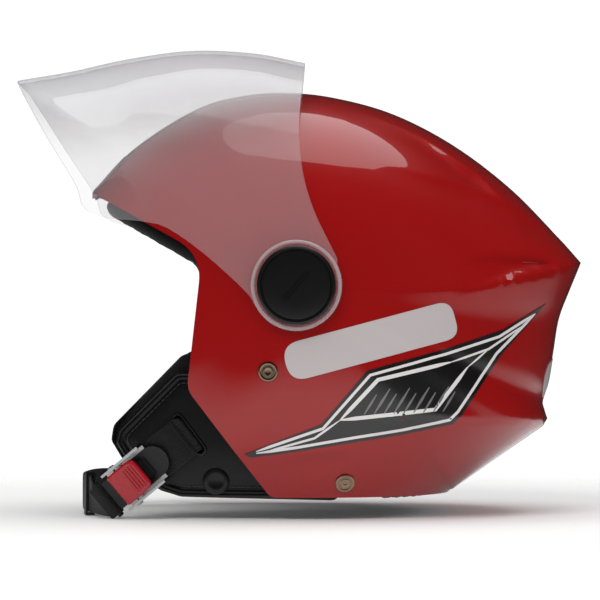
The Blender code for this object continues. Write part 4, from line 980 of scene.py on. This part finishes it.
# ============================================================
# Cheek pads. A thick soft foam wedge in knit on each side, faced outside with a grained
# black vinyl panel: piped along its edge, with a slit for the strap and a round stud.
# ============================================================
vinyl = finish_material("grained_vinyl", (0.0030, 0.0030, 0.0030), 0.40, detail=900.0, mottle=0.2,
                        bump=0.00007,
                        bump_kind="VORONOI", spread=0.07, specular=0.35)
vinyl_edge = finish_material("vinyl_piping", (0.0050, 0.0050, 0.0050), 0.34, detail=900.0, mottle=0.2,
                             bump=0.00004)
thread = finish_material("black_thread", (0.02, 0.02, 0.02), 0.7, detail=3000.0, bump=0.00005, sheen=0.3)
PAD_OUTLINE = [(-58, 81), (-66, 78), (-103.7, 39.5), (-105, 31.0), (-99, 21.0), (-78, 3.0), (-66, -0.5),
               (20, -2.5), (26, 8.0), (2, 60.0), (-12, 78.0)]
PAD_RADII = [8, 5, 7, 4, 6, 8, 10, 4, 4, 6, 6]
PANEL_OUTLINE = [(-52, 68), (-68, 68), (-100, 36.0), (-101, 30.0), (-95.5, 21.5), (-76, 4.5), (-66, 1.2),
                 (0, 0.5), (-43, 51.0)]
PANEL_RADII = [5, 5, 6, 4, 6, 8, 10, 3, 8]
SLIT = ((-67.5, 43.0), (-55.0, 26.5))


def pad_face(x, z, lift):
    """Outer face of the pad in metres: flat under the shell, turning in towards the chin."""
    turn = max(-35.0 - x, 0.0)
    under = max(30.0 - z, 0.0)
    return 0.085 * (1.0 - 0.000034 * turn ** 2 - 0.00004 * under ** 2) + lift


def even_outline(outline, pitch):
    """Closed outline with points at an even pitch."""
    pts = np.array(outline + outline[:1])
    run = run_of(pts)
    count = max(int(run[-1] / pitch), 12)
    wanted = np.linspace(0.0, run[-1], count, endpoint=False)
    return [(float(np.interp(w, run, pts[:, 0])), float(np.interp(w, run, pts[:, 1]))) for w in wanted]


def edge_gap(x, z, outline):
    """Distance from a point to an outline."""
    p = np.array([x, z])
    a = np.array(outline)
    b = np.roll(a, -1, axis=0)
    d = b - a
    t = np.clip(((p - a) * d).sum(1) / (d * d).sum(1), 0.0, 1.0)
    return float(np.linalg.norm(a + d * t[:, None] - p, axis=1).min())


def pillow(outline, low, high, side, rings=26, pitch=1.6):
    """Closed body inside a side-view outline; its two faces are functions of the place and edge distance."""
    loop = even_outline(outline, pitch)
    centre = np.mean(np.array(loop), axis=0)
    count = len(loop)
    levels = [1.0 - (k / rings) ** 1.35 for k in range(rings)]
    flat = [(centre[0] + (x - centre[0]) * s, centre[1] + (z - centre[1]) * s)
            for s in levels for x, z in loop]
    flat.append(tuple(centre))
    gaps = [edge_gap(x, z, loop) for x, z in flat]
    faces = []
    for k in range(rings - 1):
        for i in range(count):
            j = (i + 1) % count
            faces.append((k * count + i, (k + 1) * count + i, (k + 1) * count + j, k * count + j))
    for i in range(count):
        faces.append(((rings - 1) * count + i, len(flat) - 1, (rings - 1) * count + (i + 1) % count))
    outer = [placed(x, side * high(x, z, g), z) for (x, z), g in zip(flat, gaps)]
    inner = [placed(x, side * low(x, z, g), z) for (x, z), g in zip(flat, gaps)]
    return walled(outer, inner, faces)


def dome(gap, radius):
    """Height lost at a rounded edge, from 1 at the edge to 0 beyond the radius."""
    t = 1.0 - min(gap / radius, 1.0)
    return 1.0 - math.sqrt(max(1.0 - t * t, 0.0))


def stadium(a, b, half, count=9):
    """Slot outline round the line between two points."""
    d = Vector(b) - Vector(a)
    heading = math.atan2(d.y, d.x)
    ring = []
    for end, turn in ((b, -90), (a, 90)):
        for k in range(count):
            t = heading + math.radians(turn + 180 * k / (count - 1))
            ring.append((end[0] + half * math.cos(t), end[1] + half * math.sin(t)))
    return ring


def bead(name, loop, lift, radius, side, mat, face):
    """Round cord laid along a closed line on a face."""
    count = len(loop)
    path = [placed(x, side * (face(x, z) + lift), z) for x, z in loop]
    verts = []
    for i, p in enumerate(path):
        along = (path[(i + 1) % count] - path[i - 1]).normalized()
        up = Vector((0, side, 0))
        across = along.cross(up).normalized()
        for k in range(10):
            a = 2 * math.pi * k / 10
            verts.append(p + across * math.cos(a) * radius + up * math.sin(a) * radius)
    return piece(name, verts, tube_faces(count, 10, True), mat, "helmet", sharp=80.0)


def shrunk(outline, by):
    """Outline moved inwards by a distance."""
    count = len(outline)
    moved = []
    for i, (x, z) in enumerate(outline):
        before = Vector(outline[i - 1])
        after = Vector(outline[(i + 1) % count])
        d = (after - before).normalized()
        moved.append((x - d.y * by, z + d.x * by))
    return moved


for tag, side in SIDES:
    pad_line = rounded(PAD_OUTLINE, PAD_RADII, 6)
    verts, faces = pillow(
        pad_line,
        lambda x, z, g: (0.053 + 0.00012 * max(-60.0 - x, 0.0) + 0.013 * dome(g, 20.0)
                         - 0.0006 * math.sin(x * 0.21)),
        lambda x, z, g: pad_face(x, z, -0.0032) - 0.006 * dome(g, 7.0), side)
    pad = piece(f"cheek_cushion_{tag}", verts, faces, knit, "helmet", [f"cheek_pad_{tag}"],
                sharp=80.0)
    line = rounded(PANEL_OUTLINE, PANEL_RADII, 6)
    verts, faces = pillow(
        line,
        lambda x, z, g: pad_face(x, z, 0.0004),
        lambda x, z, g: pad_face(x, z, 0.0024) + 0.0010 * (1.0 - dome(max(g - 3.4, 0.0), 9.0))
        - 0.0018 * dome(g, 1.6) - 0.0009 * math.exp(-((g - 3.4) / 0.7) ** 2), side, 40, 1.2)
    panel = piece(f"cheek_vinyl_{tag}", verts, faces, vinyl, "helmet", [f"cheek_panel_{tag}"],
                  sharp=80.0)
    hole = stadium(SLIT[0], SLIT[1], 2.0)
    verts = [placed(x, y, z) for y in (side * 0.06, side * 0.10) for x, z in hole]
    faces = [tuple(range(len(hole))), tuple(range(2 * len(hole) - 1, len(hole) - 1, -1))]
    count = len(hole)
    faces += [(k, (k + 1) % count, count + (k + 1) % count, count + k) for k in range(count)]
    carve(panel, verts, faces, 80)
    bead(f"panel_piping_{tag}", even_outline(line, 1.2), 0.0010, 0.0011, side, vinyl_edge,
         lambda x, z: pad_face(x, z, 0.0008))
    bead(f"slit_rim_{tag}", stadium(SLIT[0], SLIT[1], 2.8, 15), 0.0004, 0.0009, side, vinyl_edge,
         lambda x, z: pad_face(x, z, 0.0032))
    stitch_line = even_outline(shrunk(even_outline(line, 1.2), 4.8), 3.0)
    stitches = []
    stitch_faces = []
    for i, (x, z) in enumerate(stitch_line):
        after = stitch_line[(i + 1) % len(stitch_line)]
        d = Vector((after[0] - x, after[1] - z)).normalized()
        run = [Vector((x + d.x * t, z + d.y * t)) for t in (0.0, 0.5, 1.1, 1.7, 2.2)]
        rise = [0.0, 0.0003, 0.0004, 0.0003, 0.0]
        path = [placed(p.x, side * (pad_face(p.x, p.y, 0.0031) + h), p.y) for p, h in zip(run, rise)]
        part, part_faces = swept(path, [0.00028] * 5, [0.00028] * 5, [Vector((0, side, 0))] * 5, 6)
        base = len(stitches)
        stitches += part
        stitch_faces += [tuple(base + k for k in face) for face in part_faces]
    piece(f"panel_stitching_{tag}", stitches, stitch_faces, thread, "helmet", sharp=80.0)
    y = pad_face(-46.4, 9.0, 0.0034)
    knob = [(0, 0.0), (0.0072, 0.0), (0.0074, 0.0004), (0.0072, 0.0012), (0.0064, 0.0021), (0.0050, 0.0026),
            (0.0040, 0.0024), (0.0030, 0.0017), (0.0, 0.0014)]
    verts, faces = turned(knob, 48, (-0.0464, side * y, (9.0 + RIM) / 1000), (0, side, -0.03))
    piece(f"pad_stud_{tag}", verts, faces, black_nylon, "helmet", [f"cheek_stud_{tag}"])

# ============================================================
# Chin strap. Black woven polyester webbing 23.5 mm wide, from a rivet inside each side
# through the slit in the cheek panel. It swings on the two slits.
# ============================================================
SLIT_AXIS = world(-62.0, 0.0, 35.5)
DROP = math.radians(40.0)
STRAP_REACH = 0.0745
STRAP_BEND = (0.052, 0.058)
STRAP_HALF = 0.093
STRAP_POWER = 2.5
COURSE_STEPS = 120
BUCKLE_AT = 0.038
KEEPER_AT = 0.069
NEAR_WIDTH = 0.0235
FAR_WIDTH = 0.0202
WEB_THICK = 0.0016
WIDEWAYS = Vector((-math.sin(DROP), 0.0, math.cos(DROP)))


def webbing_material():
    """Woven ribs: warp lines across the width, crossed by a finer weft, with fuzz over both."""
    made, tree, shader, place = new_material("polyester_webbing", {
        "Sheen Weight": 0.08, "Sheen Roughness": 0.45, "IOR": 1.5})
    waves = []
    for bands, scale in (("X", 300.0), ("Y", 220.0)):
        wave = tree.nodes.new("ShaderNodeTexWave")
        wave.bands_direction = bands
        wave.inputs["Scale"].default_value = scale
        wave.inputs["Distortion"].default_value = 0.6
        tree.links.new(place.outputs["UV"], wave.inputs["Vector"])
        waves.append(wave.outputs["Fac"])
    weave = combined(tree, "MULTIPLY", *waves)
    tint = tinted(tree, weave, (0.0015, 0.0015, 0.0015), (0.0060, 0.0060, 0.0062))
    tree.links.new(tint, shader.inputs["Base Color"])
    rough = ranged(tree, noise(tree, place, 1800.0), 0.62, 0.84)
    tree.links.new(rough, shader.inputs["Roughness"])
    tree.links.new(relief(tree, weave, 0.8, 0.0003), shader.inputs["Normal"])
    return made


webbing = webbing_material()
webbing_plain = finish_material("webbing_inside", (0.009, 0.009, 0.009), 0.8, sheen=0.3, detail=2600.0,
                                mottle=0.4, bump=0.0002)
clothe([f"strap_inner_{tag}" for tag, _ in SIDES], webbing_plain)


def strap_slope(a):
    """Downward slope of the strap: steep as far as the buckle, then level under the chin."""
    share = (a - STRAP_BEND[0]) / (STRAP_BEND[1] - STRAP_BEND[0])
    return DROP * (1.0 - min(max(share, 0.0), 1.0))


def strap_point(a, side):
    """Point of the strap's middle line at a forward reach, on one side."""
    x, _, z = SLIT_AXIS
    step = a / COURSE_STEPS
    for k in range(COURSE_STEPS):
        slope = strap_slope(step * (k + 0.5))
        x -= step * math.cos(slope)
        z -= step * math.sin(slope)
    y = STRAP_HALF * (1.0 - min(a / STRAP_REACH, 1.0) ** STRAP_POWER) ** (1 / STRAP_POWER)
    return Vector((x, side * y, z))


def ribbon(name, path, slopes, width, thick, count, body, nodes=()):
    """Webbing along a smooth path, with rounded selvedges and its length along U."""
    run = flow([(*p, s) for p, s in zip(path, slopes)], count)
    fine = [Vector(p[:3]) for p in run]
    section = [(math.copysign(abs(math.cos(a)) ** 0.25, math.cos(a)) * width / 2,
                math.copysign(abs(math.sin(a)) ** 0.6, math.sin(a)) * thick / 2)
               for a in np.linspace(0.0, 2 * math.pi, 20, endpoint=False)]
    steps = len(section)
    verts = []
    length = [0.0]
    for i, p in enumerate(fine):
        along = (fine[min(i + 1, count - 1)] - fine[max(i - 1, 0)]).normalized()
        wide = Vector((-math.sin(run[i][3]), 0.0, math.cos(run[i][3])))
        w = (wide - along * wide.dot(along)).normalized()
        off = along.cross(w)
        verts += [p + w * s + off * t for s, t in section]
        if i:
            length.append(length[-1] + (p - fine[i - 1]).length)
    obj = piece(name, verts, tube_faces(count, steps), webbing, body, nodes, sharp=60.0)
    layer = obj.data.uv_layers.new(name="weave")
    for loop in obj.data.loops:
        i, k = divmod(loop.vertex_index, steps)
        layer.data[loop.index].uv = (length[i], section[k][0])
    return obj


middle = strap_point(BUCKLE_AT, -1)
toward = (strap_point(0.044, -1) - strap_point(0.018, -1)).normalized()
outward = toward.cross(WIDEWAYS).normalized()
outward = outward if outward.y < 0 else -outward


def local(a, b, c):
    """Point in the buckle's own frame: forwards, across and out."""
    return middle + toward * a + WIDEWAYS * b + outward * c


path = [strap_point(0.003, -1), strap_point(0.010, -1), local(-0.0210, 0, -0.0036),
        local(-0.0165, 0, -0.0045),
        local(-0.0080, 0, -0.0046)]
ribbon("webbing_near", path, [DROP] * 5, NEAR_WIDTH, WEB_THICK, 60, "chin_strap", ["strap_near"])
spots = ((KEEPER_AT, -1), (0.0725, -1), (0.0745, 1), (0.0725, 1), (0.068, 1), (0.058, 1), (0.047, 1),
         (0.028, 1),
         (0.014, 1), (0.003, 1))
path = [local(0.0252, 0.0, -0.0008)] + [strap_point(a, side) for a, side in spots]
slopes = [DROP] + [strap_slope(a) for a, _ in spots]
far = ribbon("webbing_far", path, slopes, FAR_WIDTH, WEB_THICK, 240, None, ["strap_far"])
strap_point(KEEPER_AT, -1)
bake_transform(far)
path = [local(0.0262, 0.0, -0.0030), local(0.0240, 0.0, -0.0034), local(0.0212, 0.0, -0.0036),
        local(0.0194, 0.0, -0.0024), local(0.0192, 0.0, -0.0006), local(0.0200, 0.0, 0.0014),
        local(0.0222, 0.0, 0.0020), local(0.0262, 0.0, 0.0012)]
ribbon("webbing_fold", path, [DROP] * 8, FAR_WIDTH, 0.0012, 70, "buckle_tongue")
for tag, side, width in (("near", -1, NEAR_WIDTH), ("far", 1, FAR_WIDTH)):
    mouth = Vector((-0.0613, side * (pad_face(-61.3, 35.0, 0.0)), (35.0 + RIM) / 1000))
    start = strap_point(0.0032, side)
    root = mouth + Vector((0.0012, -side * 0.0012, 0.0))
    path = [root, mouth + Vector((-0.0004, side * 0.0030, -0.0002)), start,
            strap_point(0.0075, side) + Vector((0.0, -side * 0.0008, 0.0))]
    ramp = ribbon(f"webbing_slit_{tag}", path, [DROP] * 4, width * 0.94, 0.0013, 30, None)
    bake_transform(ramp)

# ============================================================
# Strap buckle. A ratchet: a zinc plated steel channel with a pin, a red nylon lever
# hinged on the pin, and a black toothed nylon tongue on the far webbing.
# ============================================================
RIB_START = -0.0060
RIB_PITCH = 0.0019
RIB_HALF = 0.0072
red_nylon = finish_material("red_nylon", (0.30, 0.003, 0.010), 0.28, detail=1100.0, mottle=0.05,
                            bump=0.00002, coat=0.3, coat_rough=0.1)
CLOTHED = {"buckle_frame": (zinc, 0.0003), "buckle_pin": (zinc, 0.0002),
           "strap_keeper": (black_nylon, 0.0005),
           "buckle_tongue": (black_nylon, 0.0004), "tongue_teeth": (black_nylon, 0.0001),
           "strap_slider": (black_nylon, 0.0), "buckle_lever": (red_nylon, 0.0005)}
for node, (mat, width) in CLOTHED.items():
    clothe([node], mat)
    if width:
        round_edges(frame["nodes"][node], width, 35)
for n in range(4):
    path = [local(RIB_START + n * RIB_PITCH, b, 0.0089) for b in np.linspace(-RIB_HALF, RIB_HALF, 9)]
    radii = [0.0003] + [0.0005] * 7 + [0.0003]
    verts, faces = swept(path, radii, radii, [outward] * 9, 10)
    piece(f"lever_rib_{n}", verts, faces, red_nylon, "buckle_lever")
for sign in (-1, 1):
    verts, faces = turned([(0, 0.0), (0.0021, 0.0), (0.0021, 0.0003), (0.0016, 0.0008), (0, 0.0010)], 28,
                          local(0.0060, sign * 0.0126, 0.0036), WIDEWAYS * sign)
    piece(f"pin_head_{'top' if sign > 0 else 'low'}", verts, faces, zinc, "chin_strap")

# ============================================================
# Studio: a plain pale floor that runs back out of sight, and soft light from large panels.
# ============================================================
FLOOR_FADE = (0.24, 0.62)
floor_paint = finish_material("floor_paint", (0.86, 0.86, 0.86), 0.7, detail=60.0, mottle=0.005)
bpy.ops.mesh.primitive_plane_add(size=3.0, location=(0, 0, -0.0002))
floor = bpy.context.object
floor.name = "floor"
floor.data.materials.append(floor_paint)
tree = floor_paint.node_tree
reach = tree.nodes.new("ShaderNodeVectorMath")
reach.operation = "LENGTH"
tree.links.new(tree.nodes["Texture Coordinate"].outputs["Object"], reach.inputs[0])
fade = ranged(tree, reach.outputs["Value"], 1.0, 0.0, FLOOR_FADE)
tree.links.new(fade, tree.nodes["Principled BSDF"].inputs["Alpha"])
for name, at, aim, size, power, colour in (
        ("key", (-0.9, -1.9, 1.9), (0, 0, 0.14), 1.6, 34.0, (1.0, 0.99, 0.98)),
        ("fill", (1.7, -1.7, 0.9), (0, 0, 0.12), 1.8, 13.0, (1.0, 1.0, 1.0)),
        ("top", (0.2, 0.3, 2.3), (0, 0, 0.1), 2.2, 26.0, (1.0, 1.0, 1.0))):
    lamp = bpy.data.lights.new(name, "AREA")
    lamp.shape = "DISK"
    lamp.size = size
    lamp.energy = power
    lamp.color = colour
    obj = bpy.data.objects.new(name, lamp)
    bpy.context.scene.collection.objects.link(obj)
    obj.location = at
    obj.rotation_euler = (Vector(aim) - Vector(at)).to_track_quat("-Z", "Y").to_euler()
    obj.visible_glossy = name == "top"
room = bpy.data.worlds.new("room")
bpy.context.scene.world = room
room.use_nodes = True
tree = room.node_tree
sky = tree.nodes["Background"]
sky.inputs["Color"].default_value = (1.0, 1.0, 1.0, 1.0)
ray = tree.nodes.new("ShaderNodeLightPath")
seen = ranged(tree, ray.outputs["Is Camera Ray"], 0.60, 1.05)
mirrored = ranged(tree, ray.outputs["Is Glossy Ray"], 1.0, 0.03)
tree.links.new(combined(tree, "MULTIPLY", seen, mirrored), sky.inputs["Strength"])
bpy.context.scene.view_settings.view_transform = "Standard"

camera_data = bpy.data.cameras.new("camera")
camera_data.sensor_width = 36.0
camera_data.lens = 229.6
camera_data.clip_start = 0.05
camera = bpy.data.objects.new("camera", camera_data)
camera.location = (0.0, -2.2, 0.1211)
camera.rotation_euler = (math.radians(90), 0.0, 0.0)
bpy.context.scene.collection.objects.link(camera)
bpy.context.scene.camera = camera
